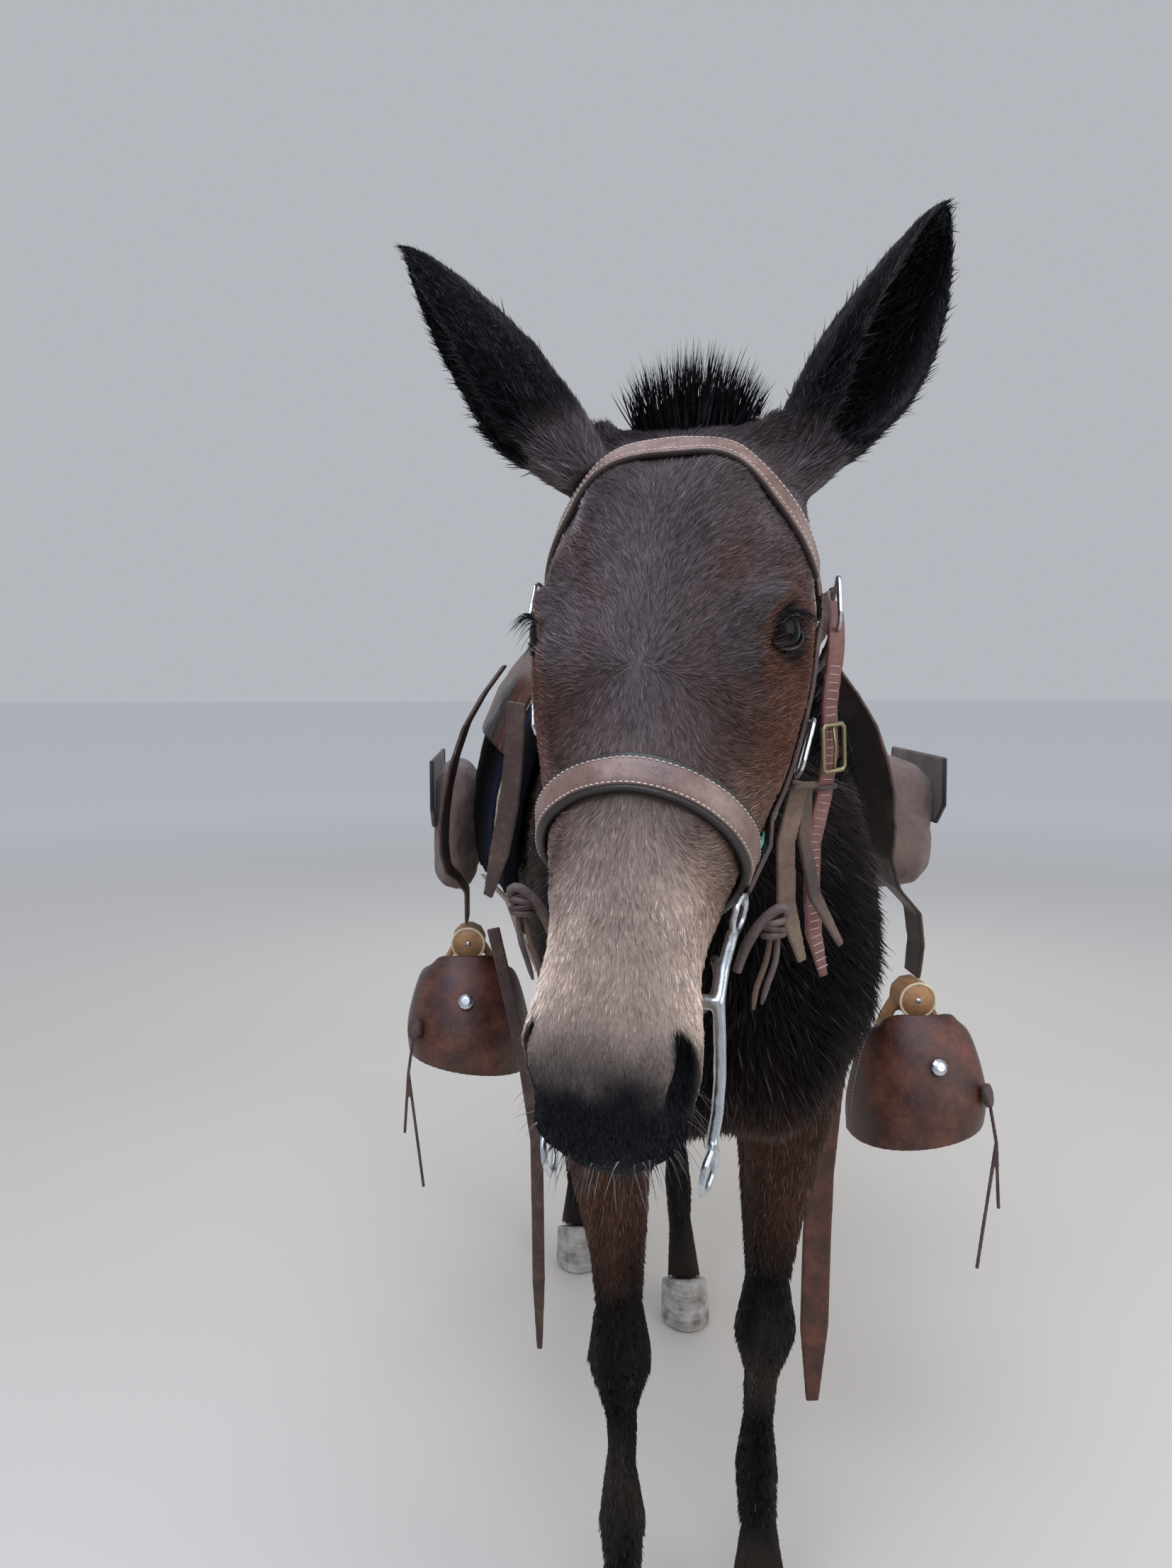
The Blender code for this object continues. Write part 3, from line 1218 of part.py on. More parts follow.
for name, side in SIDES:
    x, y, z = STIRRUPS[name]
    # The fender hangs from under the seat, past the trunk's widest place, to the stirrup
    top_y = 0.36
    line = [Vector((side * 0.245, top_y, 1.330)), Vector((side * 0.300, top_y + 0.01, 1.250)),
            Vector((side * 0.335, top_y + 0.01, 1.140)),
            Vector((side * 0.346, (top_y + y) / 2, 1.000)), Vector((x, y, 0.940)), Vector((x, y, z + 0.2285))]
    line = curve_through(line, 11)
    wide = np.interp(np.linspace(0, 1, 11), (0, 0.25, 0.5, 0.75, 1), (0.080, 0.105, 0.095, 0.040, 0.033))
    rings = []
    for point, half in zip(line, wide):
        corners = ((-half, 0), (half, 0), (half, 0.006), (-half, 0.006))
        rings.append([point + Vector((side * w, v, 0)) for v, w in corners])
    loft(f"fender_{name}", rings, LEATHER)
    # A wooden stirrup with a round top, broad foot rest and two bent sides
    ring = []
    for across, up in ((0, 0.192), (0.030, 0.186), (0.045, 0.160), (0.056, 0.100), (0.066, 0.030),
                       (0.064, 0.012), (0.040, 0.004),
                       (0, 0.002), (-0.040, 0.004), (-0.064, 0.012), (-0.066, 0.030), (-0.056, 0.100),
                       (-0.045, 0.160), (-0.030, 0.186)):
        ring.append(Vector((x + across, y, z + up)))
    points, faces = [], []
    count = len(ring)
    middle = Vector((x, y, z + 0.09))
    for point in ring:
        inward = (middle - point).normalized() * 0.012
        deep = 0.016 if point.z > z + 0.12 else 0.030
        points += [point + Vector((0, -deep, 0)), point + Vector((0, deep, 0)),
                   point + inward + Vector((0, deep, 0)),
                   point + inward + Vector((0, -deep, 0))]
    for i in range(count):
        n = (i + 1) % count
        faces += [(i * 4 + k, i * 4 + (k + 1) % 4, n * 4 + (k + 1) % 4, n * 4 + k) for k in range(4)]
    frame = mesh_object(f"stirrup_{name}", points, faces, RAWHIDE)
    # Its round top faces forwards over the hood
    hub = tube("hub", [(x, y - 0.034, z + 0.196), (x, y + 0.016, z + 0.196)], 0.029, 10)
    boolean(frame, [hub], "UNION")
    keep_largest(frame)
    # The hood closes the front of the stirrup, and is open behind
    outer, inner = [], []
    for up, half, reach in ((0.185, 0.060, 0.055), (0.150, 0.082, 0.085), (0.090, 0.100, 0.110),
                            (0.045, 0.108, 0.125), (0.0, 0.104, 0.118)):
        # the foot of the hood rises towards its outer side
        rise = side * HOOD_SLANT * (0.185 - up) / 0.185
        for rings_here, less in ((outer, 0), (inner, 0.005)):
            row = []
            for a in np.radians(np.linspace(0, 180, 9)):
                row.append((x + (half - less) * math.cos(a), y - 0.020 - (reach - less) * math.sin(a) ** 0.7,
                            z + up + rise * math.cos(a)))
            rings_here.append(row)
    points = [p for layer in (outer, inner) for row in layer for p in row]
    rows_count, columns = 5, 9
    faces = []
    half_count = rows_count * columns
    for i in range(rows_count - 1):
        for k in range(columns - 1):
            for layer in (0, 1):
                b = layer * half_count
                faces.append((b + i * 9 + k, b + (i + 1) * 9 + k, b + (i + 1) * 9 + k + 1, b + i * 9 + k + 1))
        for k in (0, 8):
            faces.append((i * 9 + k, (i + 1) * 9 + k, half_count + (i + 1) * 9 + k, half_count + i * 9 + k))
    for k in range(columns - 1):
        for i in (0, rows_count - 1):
            faces.append((i * 9 + k, i * 9 + k + 1, half_count + i * 9 + k + 1, half_count + i * 9 + k))
    mesh_object(f"tapadero_{name}", points, faces, LEATHER)
    hood = tree_of(bpy.data.objects[f"tapadero_{name}"])
    place, normal, _, _ = hood.find_nearest(Vector((x + 0.014, y - 0.2, z + 0.152)))
    concho = tube(f"concho_{name}", [place + normal * 0.002, place + normal * 0.007, place + normal * 0.010],
                  (0.0125, 0.0125, 0.007), 10, STEEL)
    clear_of(concho, (bpy.data.objects[f"tapadero_{name}"],))
    # A rosette at the hood's outer edge, with two strings
    spot, normal, _, _ = hood.find_nearest(Vector((x + side * 0.100, y - 0.12, z + 0.075)))
    rosette = tube(f"strings_{name}", [spot + normal * 0.0035, spot + normal * 0.0115], 0.018, 9,
                   DARK_LEATHER)
    spot = spot + normal * 0.0085
    ends = [tube("end", [spot, spot + Vector((side * 0.010, -0.012, -0.070)),
                         spot + Vector((side * s, -0.010, -low))], 0.0032, 4)
            for s, low in ((0.018, 0.175), (-0.012, 0.270))]
    boolean(rosette, ends, "UNION")
    keep_largest(rosette)
    clear_of(rosette, (bpy.data.objects[f"tapadero_{name}"],))

# Hanging ends of the bridle's straps, the curb strap, and knots of thong at the ends of the noseband


def hanging_strap(name, path, width, thickness, finish, facing=Vector((0, -1, 0)), spacing=0.09):
    """A strap that hangs free, its flat side turned one way."""
    run = sum((Vector(b) - Vector(a)).length for a, b in zip(path, path[1:]))
    line = curve_through(path, max(4, int(run / spacing)))
    rings = []
    for i, point in enumerate(line):
        tangent = (line[min(i + 1, len(line) - 1)] - line[max(i - 1, 0)]).normalized()
        side = tangent.cross(facing).normalized()
        over = side.cross(tangent)
        w = width * (0.45 if i == len(line) - 1 else 1.0)
        reach, rise = side * (w / 2), over * (thickness / 2)
        rings.append([point + reach - rise, point + reach + rise, point - reach + rise, point - reach - rise])
    return loft(name, rings, finish)


STRAP_ENDS = {
    "strap_end_left_front": (0.019, ((-0.005, -0.530, 1.240), (-0.012, -0.530, 1.211), (-0.018, -0.530, 1.172),
                                     (-0.014, -0.530, 1.140), (-0.001, -0.531, 1.096))),
    "strap_end_left_middle": (0.013, ((0.002, -0.519, 1.238), (0.001, -0.519, 1.201), (0.007, -0.519, 1.163),
                                      (0.016, -0.520, 1.132), (0.033, -0.521, 1.106))),
    "strap_end_left_rear": (0.017, ((0.026, -0.508, 1.335), (0.023, -0.508, 1.312), (0.023, -0.507, 1.280),
                                    (0.025, -0.505, 1.250), (0.022, -0.503, 1.228), (0.014, -0.503, 1.200),
                                    (0.013, -0.503, 1.168), (0.014, -0.503, 1.120), (0.024, -0.504, 1.076))),
    "strap_end_right": (0.019, ((-0.226, -0.476, 1.300), (-0.231, -0.466, 1.230), (-0.240, -0.456, 1.180),
                                (-0.252, -0.447, 1.134))),
}
for name, (width, path) in STRAP_ENDS.items():
    laid.append(hanging_strap(name, path, width, 0.0032, LEATHER,
                              Vector((0.5 if "left" in name else -0.6, -0.85, 0)), 0.03))
curb_path = [(0.0505, -0.399, -0.124), (0.050, -0.410, -0.152), (0.034, -0.424, -0.180),
             (0.0, -0.428, -0.188)]
curb_path += flip(curb_path[:-1][::-1], -1)
tube("curb_strap", curve_through(in_head(curb_path), 13), 0.0042, 5, DARK_LEATHER)
for name, knot, ends in (
    ("tie_left", (-0.036, -0.588, 1.142), ((-0.050, -0.592, 1.100), (-0.058, -0.592, 1.068))),
    ("tie_right", (-0.224, -0.540, 1.150), ((-0.228, -0.542, 1.110), (-0.224, -0.545, 1.086))),
):
    middle = Vector(knot)
    build = bmesh.new()
    bmesh.ops.create_icosphere(build, subdivisions=1, radius=1)
    build.transform(Matrix.Translation(middle) @ Matrix.Diagonal((0.013, 0.010, 0.015, 1)))
    mesh = bpy.data.meshes.new(name)
    build.to_mesh(mesh)
    build.free()
    made = bpy.data.objects.new(name, mesh)
    bpy.context.scene.collection.objects.link(made)
    mesh.materials.append(DARK_LEATHER)
    strings = [tube("end", [middle + Vector((0, 0, 0.004 * k)),
                            middle.lerp(Vector(end), 0.6) + Vector((0.004 * k, 0, 0)), Vector(end)],
                    0.0028, 4)
               for k, end in enumerate(ends)]
    boolean(made, strings, "UNION")
    keep_largest(made)
    clear_of(made, laid)

# Front and rear girths, hanging straps and saddlebags

cinch = trunk_shell("cinch", [torso, *legs, pad], np.linspace(0.218, 0.290, 2), 74, 0.006, 0.012,
                    material("mohair", (150, 140, 125), 0.9), 180, 15)
rear_girth = trunk_shell("rear_girth", [torso, *legs, pad], np.linspace(0.600, 0.650, 2), 72, 0.004, 0.009,
                         DARK_LEATHER, 180, 13)


hanging_strap("billet_left", [(0.262, 0.193, 0.93), (0.240, 0.196, 0.80), (0.218, 0.198, 0.60),
                              (0.214, 0.198, 0.40), (0.213, 0.198, 0.215)],
              0.043, 0.006, LEATHER)
hanging_strap("billet_right", [(-0.270, 0.345, 0.92), (-0.240, 0.350, 0.78), (-0.206, 0.352, 0.60),
                               (-0.202, 0.352, 0.40), (-0.200, 0.352, 0.215)],
              0.020, 0.005, DARK_LEATHER)
for name, side in SIDES:
    # Each bag is a deep pouch with rounded corners behind the saddle
    inside, outside = BAGS[name]
    y = 0.700
    rings = []
    for share, grow in ((0.0, 0.80), (0.15, 0.96), (0.5, 1.0), (0.85, 0.96), (1.0, 0.78)):
        ring = []
        for a in np.linspace(0, 2 * math.pi, 20, endpoint=False):
            along, up = corner_power(np.array([math.cos(a), math.sin(a)]), 0.5)
            ring.append((side * (inside + share * (outside - inside)), y + 0.135 * grow * along,
                         1.040 + 0.120 * grow * up))
        rings.append(ring)
    loft(f"saddlebag_{name}", rings, CANVAS)
    flap = [(y - 0.142, 1.168), (y + 0.142, 1.168), (y + 0.146, 1.080), (y + 0.110, 1.046),
            (y - 0.110, 1.046), (y - 0.146, 1.080)]
    slab(f"bag_flap_{name}", flap, 0.005, DARK_LEATHER,
         lambda u, v, w, o=outside, side=side: (side * (o + 0.0040 + w), u, v))
yoke = trunk_shell("bag_yoke", [pad, skirts], np.linspace(0.735, 0.785, 2), 60, 0.0025, 0.007, CANVAS,
                   columns=11)

# Everything set with the ground's origin under the middle of the whole

lows, highs = [], []
for obj in bpy.context.scene.objects:
    corners = [obj.matrix_world @ v.co for v in obj.data.vertices]
    lows.append([min(c[i] for c in corners) for i in range(3)])
    highs.append([max(c[i] for c in corners) for i in range(3)])
low, high = np.min(lows, axis=0), np.max(highs, axis=0)
shift = Vector((-(low[0] + high[0]) / 2, -(low[1] + high[1]) / 2, -low[2]))
for obj in bpy.context.scene.objects:
    obj.data.transform(Matrix.Translation(shift) @ obj.matrix_world)
    obj.matrix_world = Matrix()
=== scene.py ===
# Saddle mule, life size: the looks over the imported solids.
# The skin comes first, then its coat, then eyes and hooves, then the tack, then floor, light and camera.
import math

import bmesh
import bpy
import numpy as np
from mathutils import Matrix, Vector
from mathutils.bvhtree import BVHTree


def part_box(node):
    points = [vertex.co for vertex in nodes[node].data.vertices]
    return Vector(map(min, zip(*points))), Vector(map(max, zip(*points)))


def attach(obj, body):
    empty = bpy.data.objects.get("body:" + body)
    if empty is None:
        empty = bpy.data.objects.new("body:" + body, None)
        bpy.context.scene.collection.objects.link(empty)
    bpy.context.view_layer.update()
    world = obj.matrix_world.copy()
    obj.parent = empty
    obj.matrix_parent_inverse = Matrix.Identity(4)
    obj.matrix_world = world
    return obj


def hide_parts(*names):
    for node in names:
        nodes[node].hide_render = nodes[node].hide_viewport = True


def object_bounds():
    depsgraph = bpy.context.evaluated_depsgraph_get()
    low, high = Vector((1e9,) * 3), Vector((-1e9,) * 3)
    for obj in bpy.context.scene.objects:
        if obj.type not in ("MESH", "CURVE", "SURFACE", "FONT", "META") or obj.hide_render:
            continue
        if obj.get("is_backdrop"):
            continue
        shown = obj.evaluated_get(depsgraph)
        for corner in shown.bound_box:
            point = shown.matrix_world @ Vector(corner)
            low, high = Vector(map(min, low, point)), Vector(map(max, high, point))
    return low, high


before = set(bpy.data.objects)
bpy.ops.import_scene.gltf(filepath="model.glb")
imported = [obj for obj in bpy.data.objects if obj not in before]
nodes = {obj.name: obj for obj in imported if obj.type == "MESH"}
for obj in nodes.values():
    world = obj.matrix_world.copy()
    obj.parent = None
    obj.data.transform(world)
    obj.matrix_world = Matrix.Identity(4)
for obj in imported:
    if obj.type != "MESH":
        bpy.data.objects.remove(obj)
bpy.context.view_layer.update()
collection = bpy.context.scene.collection

# The head's own frame: x to the animal's left, -y down the nose, z out of the forehead
pose = {
    "noseDown": 57.0, "noseRight": 20.0, "eyeSide": 0.0830, "eyesDown": 0.181, "eyesDeep": 0.027,
    "eyeAxis": (0.88, -0.28, 0.36), "eyeUp": (0, 0.55, 0.83),
}
sides = (("left", 1), ("right", -1))


def centreOf(node):
    low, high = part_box(node)
    return (low + high) / 2


headTurn = (Matrix.Rotation(math.radians(-pose["noseRight"]), 4, "Z")
            @ Matrix.Rotation(math.radians(pose["noseDown"]), 4, "X"))
eyesMiddle = (centreOf("eye_left") + centreOf("eye_right")) / 2
headPlace = Matrix.Translation(eyesMiddle) @ headTurn @ Matrix.Translation((0, pose["eyesDown"], pose["eyesDeep"]))
poll = headPlace.translation
# The body's middle plane at the withers, from which the trunk and legs are measured
bodyPlace = np.array(poll - Vector((-0.0915, -0.476, 1.52)))


# Small helpers for meshes

def linked(name, mesh):
    made = bpy.data.objects.new(name, mesh)
    collection.objects.link(made)
    return made


def meshFrom(name, build):
    mesh = bpy.data.meshes.new(name)
    build.to_mesh(mesh)
    build.free()
    return linked(name, mesh)


def copyOf(node, name, swell=0.0):
    build = bmesh.new()
    build.from_mesh(nodes[node].data)
    bmesh.ops.remove_doubles(build, verts=build.verts, dist=2e-5)
    build.normal_update()
    if swell:
        for vert, way in [(v, v.normal.copy()) for v in build.verts]:
            vert.co += way * swell
    return meshFrom(name, build)


def vectorsOf(obj, what):
    values = np.empty(len(obj.data.vertices) * 3)
    obj.data.vertices.foreach_get(what, values)
    return values.reshape(-1, 3)


def placesOf(obj):
    return vectorsOf(obj, "co")


def normalsOf(obj):
    return vectorsOf(obj, "normal")


def putPlaces(obj, places):
    obj.data.vertices.foreach_set("co", places.ravel())
    obj.data.update()


def joined(name, objects):
    build = bmesh.new()
    for obj in objects:
        build.from_mesh(obj.data)
        bpy.data.objects.remove(obj)
    return meshFrom(name, build)


def applied(obj):
    graph = bpy.context.evaluated_depsgraph_get()
    mesh = bpy.data.meshes.new_from_object(obj.evaluated_get(graph))
    obj.modifiers.clear()
    obj.data = mesh
    return obj


def remeshed(obj, voxel, smoothing):
    step = obj.modifiers.new("remesh", "REMESH")
    step.mode, step.voxel_size, step.use_smooth_shade = "VOXEL", voxel, True
    if smoothing:
        soft = obj.modifiers.new("soft", "SMOOTH")
        soft.factor, soft.iterations = 0.5, smoothing
    return applied(obj)


def largestOnly(obj):
    build = bmesh.new()
    build.from_mesh(obj.data)
    left = set(build.verts)
    best = set()
    while left:
        start = left.pop()
        found, edge = {start}, [start]
        while edge:
            for link in edge.pop().link_edges:
                for vert in link.verts:
                    if vert not in found:
                        found.add(vert)
                        edge.append(vert)
        left -= found
        if len(found) > len(best):
            best = found
    bmesh.ops.delete(build, geom=[v for v in build.verts if v not in best], context="VERTS")
    build.to_mesh(obj.data)
    build.free()
    return obj


def facedOut(mesh, gap=0.0):
    # corners nearer than the gap become one, and every face turns outwards
    build = bmesh.new()
    build.from_mesh(mesh)
    if gap:
        bmesh.ops.remove_doubles(build, verts=build.verts, dist=gap)
    bmesh.ops.recalc_face_normals(build, faces=build.faces)
    build.to_mesh(mesh)
    build.free()


def meshOf(name, places, faces):
    mesh = bpy.data.meshes.new(name)
    mesh.from_pydata(places, [], faces)
    facedOut(mesh)
    return linked(name, mesh)


def bevelled(build, edges, width):
    bmesh.ops.bevel(build, geom=edges, offset=width, offset_type="OFFSET", segments=2, profile=0.5,
                    affect="EDGES", clamp_overlap=True, material=-1)


def smooth(made):
    made.data.polygons.foreach_set("use_smooth", [True] * len(made.data.polygons))


def unit(ways, least=0.0):
    return ways / np.maximum(least, np.linalg.norm(ways, axis=-1, keepdims=True))


def between(spots, knots, table):
    # the table's rows at the spots between its knots
    return np.stack([np.interp(spots, knots, column) for column in np.array(table).T], 1)


def treeOf(*objects):
    places, faces = [], []
    for obj in objects:
        first = len(places)
        places += [v.co for v in obj.data.vertices]
        faces += [[first + v for v in p.vertices] for p in obj.data.polygons]
    return BVHTree.FromPolygons(places, faces)


def ease(low, high, value):
    share = np.clip((value - low) / (high - low), 0, 1)
    return share * share * (3 - 2 * share)


def cloud(places, size, seed=0):
    # soft noise between -1 and 1, its lumps about size metres across
    spots = places / size + 71.3
    cell = np.floor(spots).astype(np.int64)
    part = spots - cell
    part = part * part * (3 - 2 * part)
    total = np.zeros(len(places))
    for corner in range(8):
        step = np.array([corner & 1, corner >> 1 & 1, corner >> 2 & 1])
        at = cell + step
        key = (at[:, 0] * 73856093 ^ at[:, 1] * 19349663 ^ at[:, 2] * 83492791 ^ (seed * 7919 + 13)) & 0xFFFFFF
        value = ((key * 1103515245 + 12345) & 0x7FFFFF) / 0x3FFFFF - 1
        weight = np.prod(np.where(step, part, 1 - part), axis=1)
        total += value * weight
    return total


def inHead(places):
    turn = np.array(headPlace.inverted())
    return places @ turn[:3, :3].T + turn[:3, 3]


def outOfHead(own):
    turn = np.array(headPlace)
    return own @ turn[:3, :3].T + turn[:3, 3]


def eyeFrame(side):
    # an eye's middle, then the ways across it, over it and out of it, in the head's frame
    middle = np.array((side * pose["eyeSide"], -pose["eyesDown"], -pose["eyesDeep"]))
    axis = unit(np.array(pose["eyeAxis"]) * (side, 1, 1))
    across = unit(np.cross(pose["eyeUp"], axis))
    return middle, across, np.cross(axis, across), axis


def crestMiddle(along):
    # the neck's middle plane, which bends towards the head
    return np.interp(along, (-0.45, 0.05), (-0.080, -0.002))


# Materials

finishes = {}


def linear(hexColour):
    parts = [int(hexColour[i:i + 2], 16) / 255 for i in (1, 3, 5)]
    return np.array([p / 12.92 if p <= 0.04045 else ((p + 0.055) / 1.055) ** 2.4 for p in parts])


def solid(hexColour):
    return (*linear(hexColour), 1)


def material(name, values):
    made = bpy.data.materials.new(name)
    made.use_nodes = True
    shader = made.node_tree.nodes["Principled BSDF"]
    for key, value in values.items():
        shader.inputs[key].default_value = value
    return made, shader


def join(owner, target, links):
    for key, socket in links.items():
        owner.node_tree.links.new(socket, target.inputs[key])


def node(owner, kind, settings=None, values=None, links=None, stops=()):
    made = owner.node_tree.nodes.new(kind)
    for key, value in (settings or {}).items():
        setattr(made, key, value)
    for key, value in (values or {}).items():
        made.inputs[key].default_value = value
    join(owner, made, links or {})
    while len(stops) > 2 and len(made.color_ramp.elements) < len(stops):
        made.color_ramp.elements.new(0.5)
    for k, (place, colour) in enumerate(stops):
        made.color_ramp.elements[k].position, made.color_ramp.elements[k].color = place, colour
    return made


def dressed(made, finish, slot, *replaced):
    made.data.materials.clear()
    made.data.materials.append(finishes[finish])
    smooth(made)
    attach(made, "root")
    if replaced:
        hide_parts(*replaced)
    return made


# The photograph was taken from about a metre in front of the nose, a little above the eyes, tilted down six degrees

view = {
    "place": (-0.221, -1.40, 1.33), "along": (0.0553, 0.9985), "downDegrees": 6.0,
    "focalPixels": 1598, "tallPixels": 2212, "sensor": 36, "clip": 0.02,
}
camera = bpy.data.objects.new("camera", bpy.data.cameras.new("camera"))
collection.objects.link(camera)
bpy.context.scene.camera = camera
camera.data.sensor_width = view["sensor"]
camera.data.lens = view["sensor"] * view["focalPixels"] / view["tallPixels"]
camera.data.clip_start = view["clip"]
camera.location = Vector(bodyPlace) + Vector(view["place"])
tilt = math.radians(view["downDegrees"])
looking = Vector((view["along"][0] * math.cos(tilt), view["along"][1] * math.cos(tilt), -math.sin(tilt)))
camera.rotation_euler = looking.to_track_quat("-Z", "Y").to_euler()

# The skin

skinShape = {
    "bodyVoxel": 0.009, "bodySmoothing": 26, "voxel": 0.0034, "smoothing": 5, "swell": 0.0006,
    "headInset": 0.0016, "bodyInset": 0.0030, "thinFaces": 160000, "triangles": 190000, "lidsReach": 0.044,
    "crest": ((-0.40, 1.519), (-0.30, 1.518), (-0.20, 1.510), (-0.09, 1.492), (0.0, 1.464), (0.12, 1.449)),
    "crestFall": 18.0, "crestHalf": 0.05, "crestFront": -0.41,
    "tuft": ((-0.02, 0.006), (0.0, -0.003), (0.03, -0.030), (0.10, -0.085)), "tuftHalf": 0.062, "tuftFront": -0.012,
}
legNodes = ["leg_fore_left", "leg_fore_right", "leg_hind_left", "leg_hind_right"]


def flattenCrest(obj):
    # the clipped mane's locks are pressed down to the neck's top line; the hair is made again below
    places = placesOf(obj)
    local = places - bodyPlace
    side = local[:, 0] - crestMiddle(local[:, 1])
    limit = np.interp(local[:, 1], *zip(*skinShape["crest"])) - skinShape["crestFall"] * side * side
    high = (local[:, 2] > limit) & (np.abs(side) < skinShape["crestHalf"]) & (local[:, 1] > skinShape["crestFront"])
    places[high, 2] = limit[high] + bodyPlace[2]
    putPlaces(obj, places)
    return obj


def flattenTuft(obj):
    own = inHead(placesOf(obj))
    limit = np.interp(own[:, 1], *zip(*skinShape["tuft"]))
    high = (own[:, 2] > limit) & (np.abs(own[:, 0]) < skinShape["tuftHalf"]) & (own[:, 1] > skinShape["tuftFront"])
    own[high, 2] = limit[high]
    putPlaces(obj, outOfHead(own))
    return obj


swell = skinShape["swell"]
trunk = [copyOf(n, "part", swell) for n in ["torso"] + legNodes]
body = joined("body", [flattenCrest(copyOf("neck", "part", 0.0008))] + trunk)
remeshed(body, skinShape["bodyVoxel"], skinShape["bodySmoothing"])
largestOnly(body)
ears = [copyOf(f"ear_{name}", "part", 2 * swell) for name, side in sides]
head = joined("head", [flattenTuft(copyOf("head", "part", swell))] + ears)
skin = joined("skin", [body, head])
remeshed(skin, skinShape["voxel"], skinShape["smoothing"])
largestOnly(skin)
print("skin remeshed:", len(skin.data.polygons), "faces")

# The trunk and legs need fewer points than the head
group = skin.vertex_groups.new(name="thin")
places = placesOf(skin)
own = inHead(places)
below, behind = np.where(own[:, 2] < -0.24, -0.24 - own[:, 2], 0), np.where(own[:, 1] > 0.06, own[:, 1] - 0.06, 0)
far = ease(0.02, 0.16, below + behind)
far[(np.abs(places[:, 1] - poll.y) < 0.16) & (places[:, 2] > poll.z + 0.01)] = 0
for level in range(1, 11):
    chosen = np.nonzero((far > (level - 1) / 10) & (far <= level / 10))[0]
    group.add([int(i) for i in chosen], level / 10, "REPLACE")
step = skin.modifiers.new("thin", "DECIMATE")
step.vertex_group, step.vertex_group_factor = "thin", 10.0
step.ratio = skinShape["thinFaces"] / (2 * len(skin.data.polygons))
skin.modifiers.new("corners", "TRIANGULATE")
applied(skin)
# the lids and the muzzle get twice as many points
build = bmesh.new()
build.from_mesh(skin.data)
own = inHead(placesOf(skin))
fine = (own[:, 1] < -0.430) & (own[:, 1] > -0.60) & (own[:, 2] > -0.20)
for name, side in sides:
    fine |= np.linalg.norm(own - eyeFrame(side)[0], axis=1) < skinShape["lidsReach"]
build.verts.ensure_lookup_table()
chosen = [e for e in build.edges if fine[e.verts[0].index] and fine[e.verts[1].index]]
bmesh.ops.subdivide_edges(build, edges=chosen, cuts=1, use_grid_fill=True)
bmesh.ops.triangulate(build, faces=[f for f in build.faces if len(f.verts) > 3])
build.to_mesh(skin.data)
build.free()
step = skin.modifiers.new("flat", "DECIMATE")
step.ratio = min(1, skinShape["triangles"] / len(skin.data.polygons))
step.use_collapse_triangulate = True
applied(skin)
print("skin thinned:", sum(len(p.vertices) - 2 for p in skin.data.polygons), "triangles")

# Folds and furrows that the fused solids are too coarse for, as moves along the skin's own normals: the line on the
# left side in the head's frame, its width, and its height, below zero for a furrow
folds = (
    # upper lid's crease and the hollow above it, the lower lid's bag
    (((0.092, -0.152, -0.010), (0.096, -0.166, 0.002), (0.090, -0.186, 0.010), (0.080, -0.204, 0.008)), 0.0040, -0.0022),
    (((0.090, -0.144, -0.002), (0.094, -0.162, 0.012), (0.086, -0.188, 0.018), (0.074, -0.208, 0.013)), 0.0055, 0.0024),
    (((0.104, -0.176, -0.034), (0.103, -0.196, -0.032), (0.094, -0.210, -0.022)), 0.0040, 0.0018),
    (((0.100, -0.190, -0.046), (0.094, -0.212, -0.040), (0.086, -0.226, -0.028)), 0.0050, -0.0014),
    # the facial crest's lower edge and the vein below it
    (((0.088, -0.262, -0.092), (0.070, -0.320, -0.086), (0.056, -0.370, -0.078)), 0.0060, -0.0012),
    (((0.084, -0.236, -0.070), (0.066, -0.300, -0.060), (0.050, -0.360, -0.052), (0.040, -0.400, -0.040)), 0.0040, 0.0009),
    # the nostril's rims and the lips' parting
    (((0.062, -0.462, -0.026), (0.074, -0.482, -0.040), (0.077, -0.502, -0.058), (0.068, -0.522, -0.078)), 0.0060, 0.0042),
    (((0.044, -0.470, -0.016), (0.042, -0.496, -0.028), (0.036, -0.518, -0.046)), 0.0070, 0.0022),
    (((0.058, -0.530, -0.088), (0.040, -0.542, -0.088), (0.026, -0.548, -0.082)), 0.0060, 0.0024),
    (((0.060, -0.436, -0.1062), (0.058, -0.470, -0.111), (0.050, -0.510, -0.1130),
      (0.030, -0.545, -0.110), (0.0, -0.556, -0.108)), 0.0028, -0.0022),
)
# the nostril: its line, and for each point of it the half width and the depth
nostril = (
    ((0.055, -0.483, -0.033), 0.0068, 0.007), ((0.059, -0.496, -0.043), 0.0104, 0.016),
    ((0.057, -0.509, -0.055), 0.0134, 0.023), ((0.050, -0.523, -0.067), 0.0130, 0.021),
    ((0.038, -0.536, -0.078), 0.0085, 0.008),
)
nostrilPull = (-0.50, 0.78, -0.36)
# the lids' opening, and the lids' thickness over the ball of the eye
opening = {
    "half": 0.0236, "above": 0.0140, "below": 0.0108, "narrowing": 0.35, "ball": 0.0207, "socket": 0.0165,
    "upperLid": 0.0046, "lowerLid": 0.0026,
}


def apart(own, first, second):
    # how far along the line from first to second each place lies, and how far off it
    run = second - first
    share = np.clip(((own - first) @ run) / (run @ run), 0, 1)
    return share, np.linalg.norm(own - first - share[:, None] * run, axis=1)


def fold(own, points, width, amount):
    points = [np.array(p) for p in points]
    best = np.min([apart(own, a, b)[1] for a, b in zip(points, points[1:])], axis=0)
    return amount * np.exp(-(best / width) ** 2)


